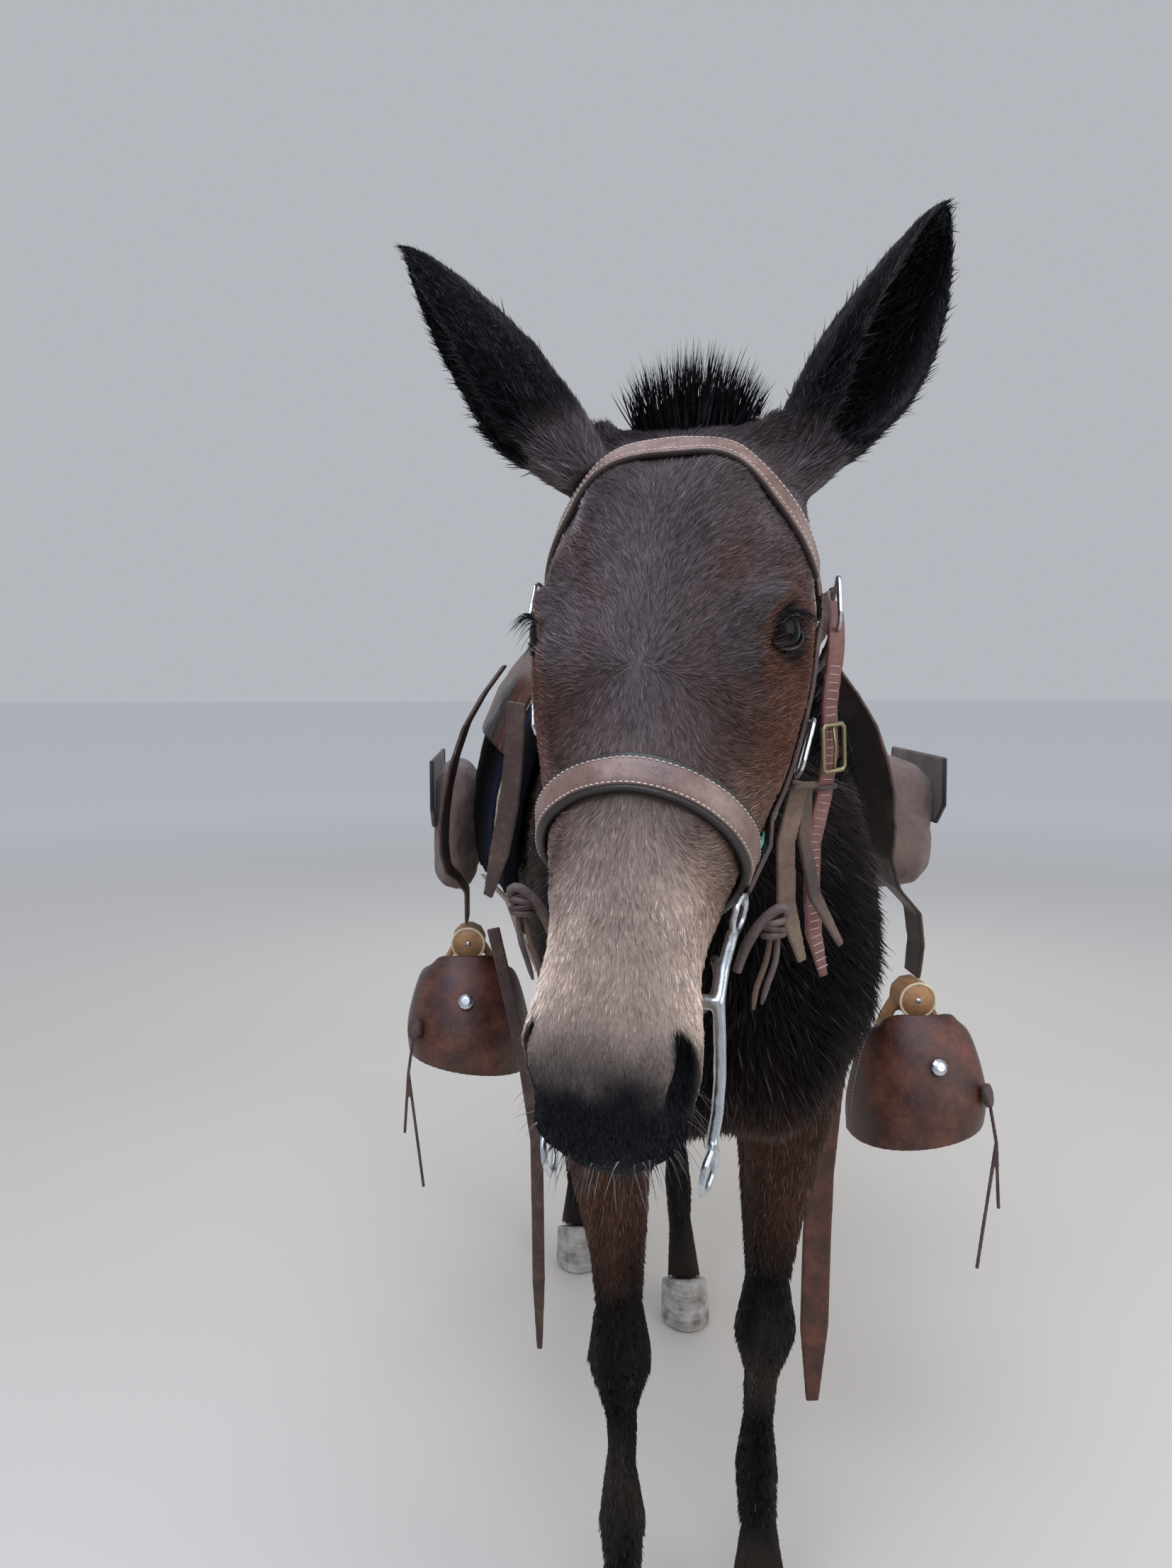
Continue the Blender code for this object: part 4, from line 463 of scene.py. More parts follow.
def inNostril(own, side):
    # how deep each place sinks into the nostril, and how near it is to its middle in its own widths
    deep, near = np.zeros(len(own)), np.full(len(own), 9.0)
    for (first, wide, depth), (second, nextWide, nextDepth) in zip(nostril, nostril[1:]):
        share, off = apart(own, np.array(first) * (side, 1, 1), np.array(second) * (side, 1, 1))
        far = off / (wide + (nextWide - wide) * share)
        deep = np.maximum(deep, (depth + (nextDepth - depth) * share) * np.exp(-far ** 3))
        near = np.minimum(near, far)
    return deep, near


def lidHeight(level, u):
    # half the opening's height at a place across it
    return level * (1 - opening["narrowing"] * u ** 2)


own = inHead(placesOf(skin))
move = np.zeros(len(own))
for points, width, amount in folds:
    for name, side in sides:
        move += fold(own, [(side * x, y, z) for x, y, z in points], width, amount)
# the furrows between the nostrils
for across in (0.0, 0.008, -0.009, 0.018, -0.020):
    points = [(across, -0.520, -0.036), (across * 0.8, -0.548, -0.072), (across * 0.7, -0.556, -0.100)]
    move += fold(own, points, 0.0022, -0.0014)
places = placesOf(skin) + normalsOf(skin) * move[:, None]
own = inHead(places)
nostrilNear = np.full(len(own), 9.0)
for name, side in sides:
    deep, near = inNostril(own, side)
    own = own + deep[:, None] * np.array(nostrilPull) * (side, 1, 1)
    nostrilNear = np.minimum(nostrilNear, near)
places = outOfHead(own)
own = inHead(places)
for name, side in sides:
    # what lies inside the almond sinks behind the eyeball
    middle, across, over, axis = eyeFrame(side)
    away = own - middle
    far = np.linalg.norm(away, axis=1)
    outward = unit(away, 1e-9)
    u, v, w = away @ across, away @ over, away @ axis
    tall = lidHeight(np.where(v > 0, opening["above"], opening["below"]), np.clip(u / opening["half"], -1, 1))
    share = np.sqrt((u / opening["half"]) ** 2 + (v / tall) ** 2)
    inside = (1 - ease(0.86, 1.10, share)) * (w > 0.004) * (far < 0.034)
    own = own + (middle + outward * opening["socket"] - own) * inside[:, None]
    # round the opening the lid lies on the ball, thicker above
    rim = np.exp(-((share - 1.28) / 0.20) ** 2) * (w > 0.0) * (far < 0.040) * (inside < 0.5)
    thick = np.where(v > 0, opening["upperLid"], opening["lowerLid"])
    own = own + (middle + outward * (opening["ball"] + thick)[:, None] - own) * (rim * 0.8)[:, None]
    # the fold above the upper lid, the heavy brow over it, the crease above the brow and the lower lid's bag:
    # height, bow, width, where it fades out, and how far it rises
    rise = 0
    for level, bow, width, start, end, shift, height in (
        (0.0205, -11, 0.0020, 0.018, 0.030, 0, -0.0028), (0.0290, -9, 0.0060, 0.022, 0.040, 0.004, 0.0046),
        (0.0380, -8, 0.0022, 0.020, 0.034, 0, -0.0016), (-0.0180, 9, 0.0018, 0.014, 0.026, 0, -0.0014),
    ):
        ridge = np.exp(-((v - (level + bow * u * u)) / width) ** 2)
        rise = rise + height * ridge * (1 - ease(start, end, np.abs(u + shift)))
    own = own + axis * (rise * (far < 0.055) * (w > -0.004) * (inside < 0.2))[:, None]
# then the skin sinks by the coat's depth
depth = np.where(inHead(placesOf(skin))[:, 1] < 0.02, skinShape["headInset"], skinShape["bodyInset"])
putPlaces(skin, outOfHead(own) - normalsOf(skin) * depth[:, None])
smooth(skin)
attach(skin, "root")
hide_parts("head", "neck", "torso", "ear_left", "ear_right", *legNodes)

# The coat's markings, in the skin's and the hairs' colour

# the forehead's colour is its brown with a cool sky sheen painted in; the cheek's is the plain brown
coatColours = {
    "forehead": "#5c5253", "cheek": "#573a2d", "bridge": "#84736b", "tan": "#bca899", "muzzle": "#0d1017",
    "lid": "#151214", "earOuter": "#191416", "earRim": "#060608", "earInside": "#070709", "neck": "#221a18",
    # the chest's near black is its darker coat with painted shade from the head above it
    "chestShadedByHead": "#0e0b0c", "trunk": "#2c211c", "belly": "#4c3a2e", "forearm": "#54392c", "legBlack": "#050609",
    "dust": "#54483f", "poll": "#151112", "jaw": "#3a2820",
    "lipCorner": "#5e513a", "mane": "#060608", "whisker": "#4b4a4c", "earHair": "#121014",
}
# root, tip and the way the cup opens
earLines = {
    "left": ((0.004, -0.478, 1.500), (0.146, -0.405, 1.722), (0.45, -0.86, -0.20)),
    "right": ((-0.185, -0.458, 1.503), (-0.325, -0.380, 1.684), (-0.90, -0.05, -0.35)),
}
hue = {name: linear(value) for name, value in coatColours.items()}


def mixed(first, second, share):
    return first + (np.array(second) - first) * np.asarray(share)[:, None]


def layered(base, count, layers):
    # one colour over the other, each by its share
    colour = np.tile(hue[base], (count, 1))
    for name, share in layers:
        colour = mixed(colour, hue[name], share)
    return colour


regions = {"names": ["head", "ear_left", "ear_right", "neck", "torso"] + legNodes, "first": []}
regionPlaces, regionFaces = [], []
for name in regions["names"]:
    first = len(regionPlaces)
    regions["first"].append(len(regionFaces))
    mesh = nodes[name].data
    regionPlaces += [v.co for v in mesh.vertices]
    regionFaces += [[first + v for v in p.vertices] for p in mesh.polygons]
regionTree = BVHTree.FromPolygons(regionPlaces, regionFaces)


def regionAt(places):
    found = np.array([regionTree.find_nearest(Vector(p))[2] for p in places])
    return np.searchsorted(regions["first"], found, side="right") - 1


def earAt(places, name):
    # how far up the ear each place is, with the ear's root, its long way and the way it opens
    base, tip, opens = [np.array(v) for v in earLines[name]]
    base, run = base + bodyPlace, tip - base
    return ((places - base) @ run) / (run @ run), base, unit(run), opens


def coatAt(places, normals, region):
    # colour, lie, length, width and lift of the coat at each place
    own = inHead(places)
    x, y, z = own.T
    down = -y
    local = places - bodyPlace
    along, height = local[:, 1], local[:, 2]
    count = len(places)
    patchy, fine = cloud(places, 0.05, 1), cloud(places, 0.012, 2)
    facing = normals @ np.array(headPlace.inverted())[:3, :3].T
    side = ease(0.12, 0.98, np.abs(facing[:, 0]) + 0.06 * fine)
    ragged = 0.006 * cloud(places, 0.025, 21) + 0.009 * fine
    ragged = ragged + 0.10 * np.maximum(0, np.abs(x) - 0.040) - 0.10 * np.maximum(0, x - 0.060)
    # painted sky sheen: the head's front and top keep the forehead's sheen-tinted colour, and the sides turn to the
    # cheek's plain brown by the way they face
    colour = layered("forehead", count, (
        ("cheek", side * ease(0.08, 0.18, down)),
        ("bridge", ease(0.26, 0.36, down + 0.01 * patchy) * (1 - 0.6 * side)),
        ("tan", ease(0.34, 0.44, down + 0.02 * patchy) * (0.45 + 0.55 * side)),
        ("jaw", ease(-0.13, -0.19, z) * (1 - ease(0.34, 0.42, down))),
        ("poll", (1 - ease(-0.01, 0.05, down)) * 0.8),
        ("muzzle", ease(0.458, 0.534, down + ragged + 0.15 * np.maximum(0, -0.085 - z))),
    ))
    for name, sign in sides:
        near = np.linalg.norm(own - eyeFrame(sign)[0] - np.array((sign * 0.004, -0.002, 0.002)), axis=1)
        colour = mixed(colour, hue["lid"], (1 - ease(0.0220, 0.031, near)) * 0.85)
        corner = np.linalg.norm((own - (sign * 0.050, -0.512, -0.108)) / (0.020, 0.016, 0.012), axis=1)
        colour = mixed(colour, hue["lipCorner"], (1 - ease(0.5, 1.2, corner + 0.3 * fine)) * 0.55)
    # painted shade: inside the nostril its dark skin is painted near black, as the hollow's shade
    colour = mixed(colour, (0.002, 0.002, 0.003), 1 - ease(0.75, 1.25, nostrilNear))
    colour = mixed(colour, hue["muzzle"], (1 - ease(1.1, 1.9, nostrilNear)) * 0.6)
    # lie of the hair on the head: up and out above the whorl, down the nose below it, back over the cheeks
    spread, toLips = x[:, None] / 0.08, (0, -0.85, -0.45)
    lie = mixed(spread * (2.0, 0, 0) + (0, 1, 0.1), spread * (0.7, 0, 0) - (0, 1, 0.1), ease(0.205, 0.265, down))
    lie = mixed(lie, mixed(np.tile((0, 0.75, -0.65), (count, 1)), toLips, ease(0.34, 0.42, down)), side)
    lie = mixed(lie, toLips, ease(0.44, 0.50, down)) @ np.array(headPlace)[:3, :3].T
    length = np.interp(down, (-0.05, 0.05, 0.2, 0.35, 0.45, 0.5), (0.012, 0.009, 0.008, 0.0068, 0.0056, 0.0036))
    width = np.interp(down, (0.3, 0.5), (0.00095, 0.0007))
    lift = np.full(count, 0.14)
    # neck, trunk and legs
    neckish = region >= 3
    ahead, low = 1 - ease(-0.25, 0.0, along), ease(0.3, 0.8, -normals[:, 2])
    trunk = layered("trunk", count, (
        ("neck", 1 - ease(-0.25, 0.15, along)),
        # painted shade: the front below the head is painted near black, its darker coat with the head's shade in it
        ("chestShadedByHead", ahead * (1 - ease(1.05, 1.25, height))),
        ("belly", low * ease(0.0, 0.2, along) * (1 - ease(0.85, 1.0, height)) * 0.8),
        ("forearm", (1 - ease(0.70, 0.90, height)) * 0.85),
        ("legBlack", 1 - ease(0.50, 0.66, height + 0.03 * patchy)),
        ("dust", (1 - ease(0.42, 0.46, height)) * ease(-0.1, 0.7, patchy) * 0.38),
        ("dust", (1 - ease(0.10, 0.17, height)) * 0.40),
    ))
    colour = np.where(neckish[:, None], trunk, colour)
    colour = mixed(colour, hue["neck"], ease(-0.02, 0.05, y - 0.25 * (z + 0.1)) * (region == 0))
    flow = np.tile((0, 0.55, -0.83), (count, 1))
    for way, share in (
        (np.sign(local[:, :1]) * (0.5, 0, 0) + (0, 0.1, -1), (1 - ease(-0.3, -0.1, along)) * (1 - ease(1.1, 1.3, height))),
        ((0, 0.9, -0.35), ease(0.05, 0.25, along) * ease(0.85, 1.0, height)),
        ((0, 0.25, -1), ease(0.9, 1.15, along)),
        ((0, 0.08, -1), 1 - ease(0.70, 0.85, height)),
    ):
        flow = mixed(flow, way, share)
    lie = np.where(neckish[:, None], flow, lie)
    chestFuzz = (1 - ease(-0.15, 0.05, along)) * (1 - ease(1.25, 1.40, height)) * ease(0.7, 0.9, height)
    shorter = 1 - ease(0.5, 0.8, height)
    fetlock = (1 - ease(0.15, 0.22, height)) * ease(0.2, 0.8, normals[:, 1])
    length = np.where(neckish, 0.015 + 0.011 * chestFuzz - 0.006 * shorter + 0.010 * fetlock, length)
    width = np.where(neckish, 0.0030 - 0.0012 * shorter, width)
    lift = np.where(neckish, 0.20 + 0.22 * chestFuzz, lift)
    for number, (name, sign) in enumerate(sides, 1):
        here = region == number
        up, base, earWay, opens = earAt(places, name)
        inside = ease(-0.1, 0.5, normals @ opens)
        ear = layered("earOuter", count, (("earInside", inside), ("earRim", ease(0.62, 0.95, up + 0.1 * patchy))))
        colour = np.where(here[:, None], mixed(colour, ear, ease(-0.02, 0.12, up)), colour)
        lie = np.where(here[:, None], earWay, lie)
        length = np.where(here, 0.008 + 0.004 * inside, length)
        lift = np.where(here, 0.20, lift)
    colour = colour * (1 + 0.16 * patchy + 0.10 * fine)[:, None]
    lie = unit(lie - normals * np.sum(lie * normals, 1)[:, None], 1e-6)
    return np.clip(colour, 0, 1), lie, length, width, lift


def paint(obj, colours):
    layer = obj.data.color_attributes.new("coat", "FLOAT_COLOR", "POINT")
    layer.data.foreach_set("color", np.column_stack([colours, np.ones(len(colours))]).ravel())


skinPlaces, skinNormals = placesOf(skin), normalsOf(skin)
skinRegion = regionAt(skinPlaces)
skinColour, skinLie, skinLength, skinWidth, skinLift = coatAt(skinPlaces, skinNormals, skinRegion)
paint(skin, skinColour * 0.75)
print("skin coloured")

# hide under a clipped coat: soft, a little oily, with the grain of the hair pressed into it
hide, shader = material("hide_with_short_coat", {"Roughness": 0.60, "Specular IOR Level": 0.14})
tint = node(hide, "ShaderNodeAttribute", {"attribute_name": "coat"})
place = {"Vector": node(hide, "ShaderNodeTexCoord").outputs["Object"]}
grain = node(hide, "ShaderNodeTexNoise", values={"Scale": 420.0, "Detail": 4.0, "Roughness": 0.65}, links=place)
creases = node(hide, "ShaderNodeTexNoise", values={"Scale": 70.0, "Detail": 3.0}, links=place)
heights = {0: creases.outputs["Fac"], 2: grain.outputs["Fac"]}
both = node(hide, "ShaderNodeMath", {"operation": "MULTIPLY_ADD"}, {1: 0.6}, heights)
rough = node(hide, "ShaderNodeBump", {}, {"Strength": 0.55, "Distance": 0.0012}, {"Height": both.outputs["Value"]})
join(hide, shader, {"Base Color": tint.outputs["Color"], "Normal": rough.outputs["Normal"]})
skin.data.materials.clear()
skin.data.materials.append(hide)

# hair: smooth keratin, so each tuft has a narrow shine along it
hair, shader = material("horse_hair_satin", {"Roughness": 0.46, "Specular IOR Level": 0.16})
tint = node(hair, "ShaderNodeAttribute", {"attribute_name": "coat"})
join(hair, shader, {"Base Color": tint.outputs["Color"]})

# The coat: closed, tapered tufts that follow the lie of the hair

coat = {"headTufts": 160000, "bodyTufts": 106000, "toneSpread": 0.34, "turnSpread": 0.13, "patch": 0.003, "perPiece": 48000}
chance = np.random.default_rng(11)


def unwrapGuide():
    # a light copy of the skin, unwrapped, tells each hair where its root lies on the skin's own surface
    guide = linked("guide", skin.data.copy())
    step = guide.modifiers.new("thin", "DECIMATE")
    step.ratio = 0.05
    guide.modifiers.new("corners", "TRIANGULATE")
    applied(guide)
    bpy.context.view_layer.objects.active = guide
    for other in bpy.context.selected_objects:
        other.select_set(False)
    guide.select_set(True)
    bpy.ops.object.mode_set(mode="EDIT")
    bpy.ops.mesh.select_all(action="SELECT")
    bpy.ops.uv.smart_project(angle_limit=math.radians(66), island_margin=0.004)
    bpy.ops.object.mode_set(mode="OBJECT")
    return guide


guide = unwrapGuide()
guideUv = np.empty(len(guide.data.loops) * 2)
guide.data.uv_layers.active.data.foreach_get("uv", guideUv)
guideUv = guideUv.reshape(-1, 2)
guidePlaces = placesOf(guide)
guideTris = [list(p.vertices) for p in guide.data.polygons]
guideLoops = [list(p.loop_indices) for p in guide.data.polygons]
guideTree = BVHTree.FromPolygons([Vector(p) for p in guidePlaces], guideTris)


def patchAt(places):
    near = [guideTree.find_nearest(Vector(p)) for p in places]
    index = np.array([n[2] for n in near])
    spots = np.array([n[0][:] for n in near])
    corners = np.array(guideTris)[index]
    a, b, c = guidePlaces[corners[:, 0]], guidePlaces[corners[:, 1]], guidePlaces[corners[:, 2]]
    normal = np.cross(b - a, c - a)
    area = np.maximum(1e-12, np.sum(normal * normal, 1))
    u = np.sum(np.cross(b - spots, c - spots) * normal, 1) / area
    v = np.sum(np.cross(c - spots, a - spots) * normal, 1) / area
    loops = np.array(guideLoops)[index]
    return (guideUv[loops[:, 0]] * u[:, None] + guideUv[loops[:, 1]] * v[:, None]
            + guideUv[loops[:, 2]] * (1 - u - v)[:, None])


def rootsOn(obj, count, weightAt):
    # places spread over a surface by area and weight: where, and the three corners' shares
    mesh = obj.data
    mesh.calc_loop_triangles()
    tris = np.empty(len(mesh.loop_triangles) * 3, np.int64)
    mesh.loop_triangles.foreach_get("vertices", tris)
    tris = tris.reshape(-1, 3)
    places = placesOf(obj)
    a, b, c = places[tris[:, 0]], places[tris[:, 1]], places[tris[:, 2]]
    area = np.linalg.norm(np.cross(b - a, c - a), axis=1) * weightAt[tris].mean(1)
    steps = np.cumsum(area)
    picks = np.searchsorted(steps, (np.arange(count) + chance.random(count)) / count * steps[-1])
    picks = np.minimum(picks, len(tris) - 1)
    r, s = np.sqrt(chance.random(count)), chance.random(count)
    shares = np.stack([1 - r, r * (1 - s), r * s], 1)
    return tris[picks], shares


def along(values, tris, shares):
    return (values[tris] * shares[..., None]).sum(1) if values.ndim > 1 else (values[tris] * shares).sum(1)


def hairMesh(name, middles, ups, widths, colours, flat=0.35, tipTone=1.45, sink=0.0008, taper=0.75):
    # one mesh of closed hairs or tufts along their middle lines, three-sided, tapering to a point
    count, rings = middles.shape[0], middles.shape[1] - 1
    each = 3 * rings + 1
    verts = np.empty((count, each, 3))
    tones = np.empty((count, each))
    patch = np.empty((count, each, 2))
    for ring in range(rings):
        share = ring / rings
        way = middles[:, ring + 1] - middles[:, max(0, ring - 1)]
        aside = unit(np.cross(way, ups), 1e-9)
        over = unit(np.cross(aside, way), 1e-9)
        sunk = sink if ring == 0 else 0
        middle = middles[:, ring] - ups * sunk
        wide = widths * (1 - taper * share ** 1.5)
        verts[:, ring * 3] = middle + aside * (wide / 2)[:, None]
        verts[:, ring * 3 + 1] = middle + over * (wide * flat + sunk)[:, None]
        verts[:, ring * 3 + 2] = middle - aside * (wide / 2)[:, None]
        tones[:, ring * 3:ring * 3 + 3] = 1 + (tipTone - 1) * share
        for corner, across in enumerate((0.5, 0.0, -0.5)):
            patch[:, ring * 3 + corner] = (across, share - 0.5)
    verts[:, -1] = middles[:, -1]
    tones[:, -1] = tipTone
    patch[:, -1] = (0, 0.5)
    faces = [(0, 1, 2)]
    for ring in range(rings - 1):
        for k in range(3):
            a, b = ring * 3 + k, ring * 3 + (k + 1) % 3
            faces += [(a, b + 3, b), (a, a + 3, b + 3)]
    last = (rings - 1) * 3
    faces += [(last + (k + 1) % 3, last + k, each - 1) for k in range(3)]
    faces = (np.array(faces)[None] + (np.arange(count) * each)[:, None, None]).reshape(-1, 3)
    mesh = bpy.data.meshes.new(name)
    mesh.vertices.add(count * each)
    mesh.vertices.foreach_set("co", verts.ravel())
    mesh.loops.add(len(faces) * 3)
    mesh.loops.foreach_set("vertex_index", faces.ravel())
    mesh.polygons.add(len(faces))
    mesh.polygons.foreach_set("loop_start", np.arange(len(faces)) * 3)
    mesh.update(calc_edges=True)
    tint = np.repeat(colours, each, axis=0) * tones.reshape(-1, 1)
    made = linked(name, mesh)
    paint(made, np.clip(tint, 0, 1))
    uv = patchAt(middles[:, 0])[:, None, :] + patch * coat["patch"]
    mesh.uv_layers.new(name="OFBake").data.foreach_set("uv", uv.reshape(-1, 2)[faces.ravel()].ravel())
    mesh.materials.append(hair)
    mesh.polygons.foreach_set("use_smooth", [False] * len(faces))
    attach(made, "root")
    return made


def hairPiece(name, roots, ways, ups, lengths, widths, colours, segments=1, bends=None, **more):
    shares = np.arange(segments + 1)[None, :, None] / segments
    bends = np.zeros_like(roots) if bends is None else bends
    middles = (roots[:, None] + ways[:, None] * lengths[:, None, None] * shares
               + bends[:, None] * lengths[:, None, None] * shares ** 2)
    return hairMesh(name, middles, ups, widths, colours, **more)


tackNodes = [n for n in nodes if n not in regions["names"] and n != "tail" and not n.startswith("hoof")]
coverTree = treeOf(*[nodes[n] for n in tackNodes])
skinTree = treeOf(skin)


def openRoots(places, normals, reach):
    # false under the tack, and in the socket, nostril and mouth
    keep = np.ones(len(places), bool)
    for i, (p, n) in enumerate(zip(places, normals)):
        start = Vector(p) + Vector(n) * 0.0012
        if coverTree.ray_cast(start, Vector(n), reach)[0] or skinTree.ray_cast(start, Vector(n), reach)[0]:
            keep[i] = False
    return keep


def growCoat(prefix, count, weights, reach):
    tris, shares = rootsOn(skin, count, weights)
    places = along(skinPlaces, tris, shares)
    normals = unit(along(skinNormals, tris, shares))
    keep = openRoots(places, normals, reach)
    tris, shares, places, normals = tris[keep], shares[keep], places[keep], normals[keep]
    colours = along(skinColour, tris, shares)
    lie = along(skinLie, tris, shares)
    lengths = along(skinLength, tris, shares) * np.exp(chance.normal(0, 0.20, len(places)))
    widths = along(skinWidth, tris, shares) * np.exp(chance.normal(0, 0.15, len(places)))
    lift = along(skinLift, tris, shares) * (1 + chance.normal(0, 0.30, len(places)))
    lie = unit(lie - normals * np.sum(lie * normals, 1)[:, None], 1e-6)
    turn = chance.normal(0, coat["turnSpread"], len(places)) + 0.35 * cloud(places, 0.018, 5)
    cross = np.cross(normals, lie)
    lie = lie * np.cos(turn)[:, None] + cross * np.sin(turn)[:, None]
    ways = lie * np.cos(lift)[:, None] + normals * np.sin(lift)[:, None]
    tones = np.exp(chance.normal(0, coat["toneSpread"], len(places)))
    # one tuft in twenty is a pale hair, and its cool grey lift is a painted sky glint
    pale = chance.random(len(places)) < 0.05
    colours = np.where(pale[:, None], colours * 1.5 + (0.030, 0.028, 0.034), colours * tones[:, None])
    order = np.argsort(places[:, 1] - 0.6 * places[:, 2], kind="stable")
    pieces = []
    for number, first in enumerate(range(0, len(order), coat["perPiece"])):
        part = order[first:first + coat["perPiece"]]
        grown = [values[part] for values in (places, ways, normals, lengths, widths, colours)]
        pieces.append(hairPiece(f"{prefix}_{number + 1}", *grown))
    return pieces


headWeights, bodyWeights = np.where(skinRegion < 3, 1.0, 0.0), np.where(skinRegion >= 3, 1.0, 0.0)
front = ease(0.0, 0.9, -skinNormals[:, 1]) * (skinPlaces[:, 1] < bodyPlace[1] + 0.1)
bodyWeights = bodyWeights * (1 + 2.0 * front + 1.2 * (skinPlaces[:, 2] < 0.75))
coatPieces = growCoat("coat_head", coat["headTufts"], headWeights, 0.007)
coatPieces += growCoat("coat_body", coat["bodyTufts"], bodyWeights, 0.012)

# The eyes: dark iris with a level pupil under a wet cornea, lids rolled over their rims, lashes on the upper lid

eye = {
    "radius": 0.0207, "rimRadius": 0.0017, "rimReach": 0.0222, "rimPoints": 44, "lashes": 64, "lashLength": 0.019,
    "lashWidth": 0.00055, "iris": "#1c1210", "irisRays": "#2e1c13", "irisEdge": "#08060a", "ball": "#3a302c",
    "pupil": "#030305", "back": "#3a2c28",
}
cornea, shader = material("wet_cornea_over_dark_iris", {
    "Roughness": 0.12, "Specular IOR Level": 0.07, "Coat Weight": 0.11, "Coat Roughness": 0.03,
})
tint = node(cornea, "ShaderNodeAttribute", {"attribute_name": "coat"})
join(cornea, shader, {"Base Color": tint.outputs["Color"]})
wetRim, shader = material("bare_lid_skin_moist", {"Base Color": solid("#0b0a0c"), "Roughness": 0.16})
finishes.update(hide=hide, cornea=cornea, wetRim=wetRim)


def roundBar(name, points, radius, finish, slot, *replaced, closed=False, steps=3):
    # a bar along a line, its radius one number or one for each point
    curve = bpy.data.curves.new(name, "CURVE")
    curve.dimensions, curve.bevel_depth, curve.bevel_resolution, curve.use_fill_caps = "3D", 1.0, steps, True
    spline = curve.splines.new("POLY")
    spline.points.add(len(points) - 1)
    radii = radius if hasattr(radius, "__len__") else [radius] * len(points)
    for spot, place, size in zip(spline.points, points, radii):
        spot.co, spot.radius = (*place, 1), size
    spline.use_cyclic_u = closed
    holder = linked(name, curve)
    bpy.context.view_layer.update()
    mesh = bpy.data.meshes.new_from_object(holder.evaluated_get(bpy.context.evaluated_depsgraph_get()))
    bpy.data.objects.remove(holder)
    facedOut(mesh, 1e-6)
    return dressed(linked(name, mesh), finish, slot, *replaced)


def runOf(points):
    # the length of a line up to each of its points
    return np.concatenate([[0], np.cumsum(np.linalg.norm(np.diff(points, axis=0), axis=1))])


def along3d(points, count):
    # even places along a smooth line through the points
    points = [Vector(p) for p in points]
    dense = []
    for i in range(len(points) - 1):
        a, b, c, d = points[max(0, i - 1)], points[i], points[i + 1], points[min(len(points) - 1, i + 2)]
        for s in [k / 12 for k in range(12)]:
            dense.append(b * (2 - 5 * s ** 2 + 3 * s ** 3) / 2 + c * (s + 4 * s ** 2 - 3 * s ** 3) / 2
                         + a * (-s + 2 * s ** 2 - s ** 3) / 2 + d * (-s ** 2 + s ** 3) / 2)
    dense = np.array([p[:] for p in dense + [points[-1]]])
    steps = runOf(dense)
    return between(np.linspace(0, steps[-1], count), steps, dense)


lashRoots, lashWays, lashUps, lashBends = [], [], [], []
headTurn3 = np.array(headTurn.to_3x3())
for name, side in sides:
    middle, across, over, axis = eyeFrame(side)

    def lidSpot(a, wide, tall):
        u, v = math.cos(a) * opening["half"] * wide, math.sin(a) * lidHeight(tall, math.cos(a))
        out = math.sqrt(max(0.0, eye["rimReach"] ** 2 - u * u - v * v))
        return u, outOfHead(middle + across * u + over * v + axis * out)

    build = bmesh.new()
    bmesh.ops.create_uvsphere(build, u_segments=48, v_segments=32, radius=eye["radius"])
    eyeTurn = Matrix((across, over, axis)).transposed().to_4x4()
    build.transform(headPlace @ Matrix.Translation(middle) @ eyeTurn)
    ball = meshFrom(f"eyeball_{name}", build)
    spots = (inHead(placesOf(ball)) - middle) / eye["radius"]
    u, v, w = spots @ across, spots @ over, spots @ axis
    off, angle = np.sqrt(u * u + v * v), np.arctan2(v, u)
    colours = np.tile(linear(eye["iris"]), (len(spots), 1))
    for shade, share in (
        ("irisRays", (0.5 + 0.5 * np.sin(angle * 37)) * ease(0.25, 0.55, off) * 0.5),
        ("irisEdge", ease(0.50, 0.62, off)),
        ("ball", ease(0.86, 0.96, off) * 0.4),
        ("pupil", 1 - ease(0.9, 1.1, np.sqrt((u / 0.36) ** 2 + (v / 0.20) ** 2))),
    ):
        colours = mixed(colours, linear(eye[shade]), share)
    paint(ball, np.where((w < 0)[:, None], linear(eye["back"]), colours))
    dressed(ball, "cornea", "eye", f"eye_{name}")
    turns = [2 * math.pi * k / eye["rimPoints"] for k in range(eye["rimPoints"])]
    rim = [lidSpot(a, 0.97, opening["above" if math.sin(a) > 0 else "below"] * 0.97)[1] for a in turns]
    sizes = [eye["rimRadius"] * (1.25 if math.sin(a) > 0 else 0.8) for a in turns]
    roundBar(f"lid_rim_{name}", rim, sizes, "wetRim", "eye", closed=True)
    for k in range(eye["lashes"]):
        a = math.radians(18 + 144 * (k + chance.random() * 0.8) / eye["lashes"])
        u, spot = lidSpot(a, 1.0, opening["above"] * 1.02)
        way = axis * 0.75 + across * (u * 24) + over * (0.20 + 0.3 * chance.random()) + chance.normal(0, 0.15, 3)
        lashRoots.append(spot)
        lashWays.append(unit(headTurn3 @ way))
        lashUps.append(headTurn3 @ over)
        lashBends.append(headTurn3 @ (over * -0.55 + (0, -0.25, -0.2)))
lashCount = len(lashRoots)
hairPiece("lashes", np.array(lashRoots), np.array(lashWays), np.array(lashUps),
          eye["lashLength"] * np.exp(chance.normal(0, 0.15, lashCount)), np.full(lashCount, eye["lashWidth"]),
          np.tile(hue["mane"], (lashCount, 1)), segments=5, bends=np.array(lashBends), flat=0.8)


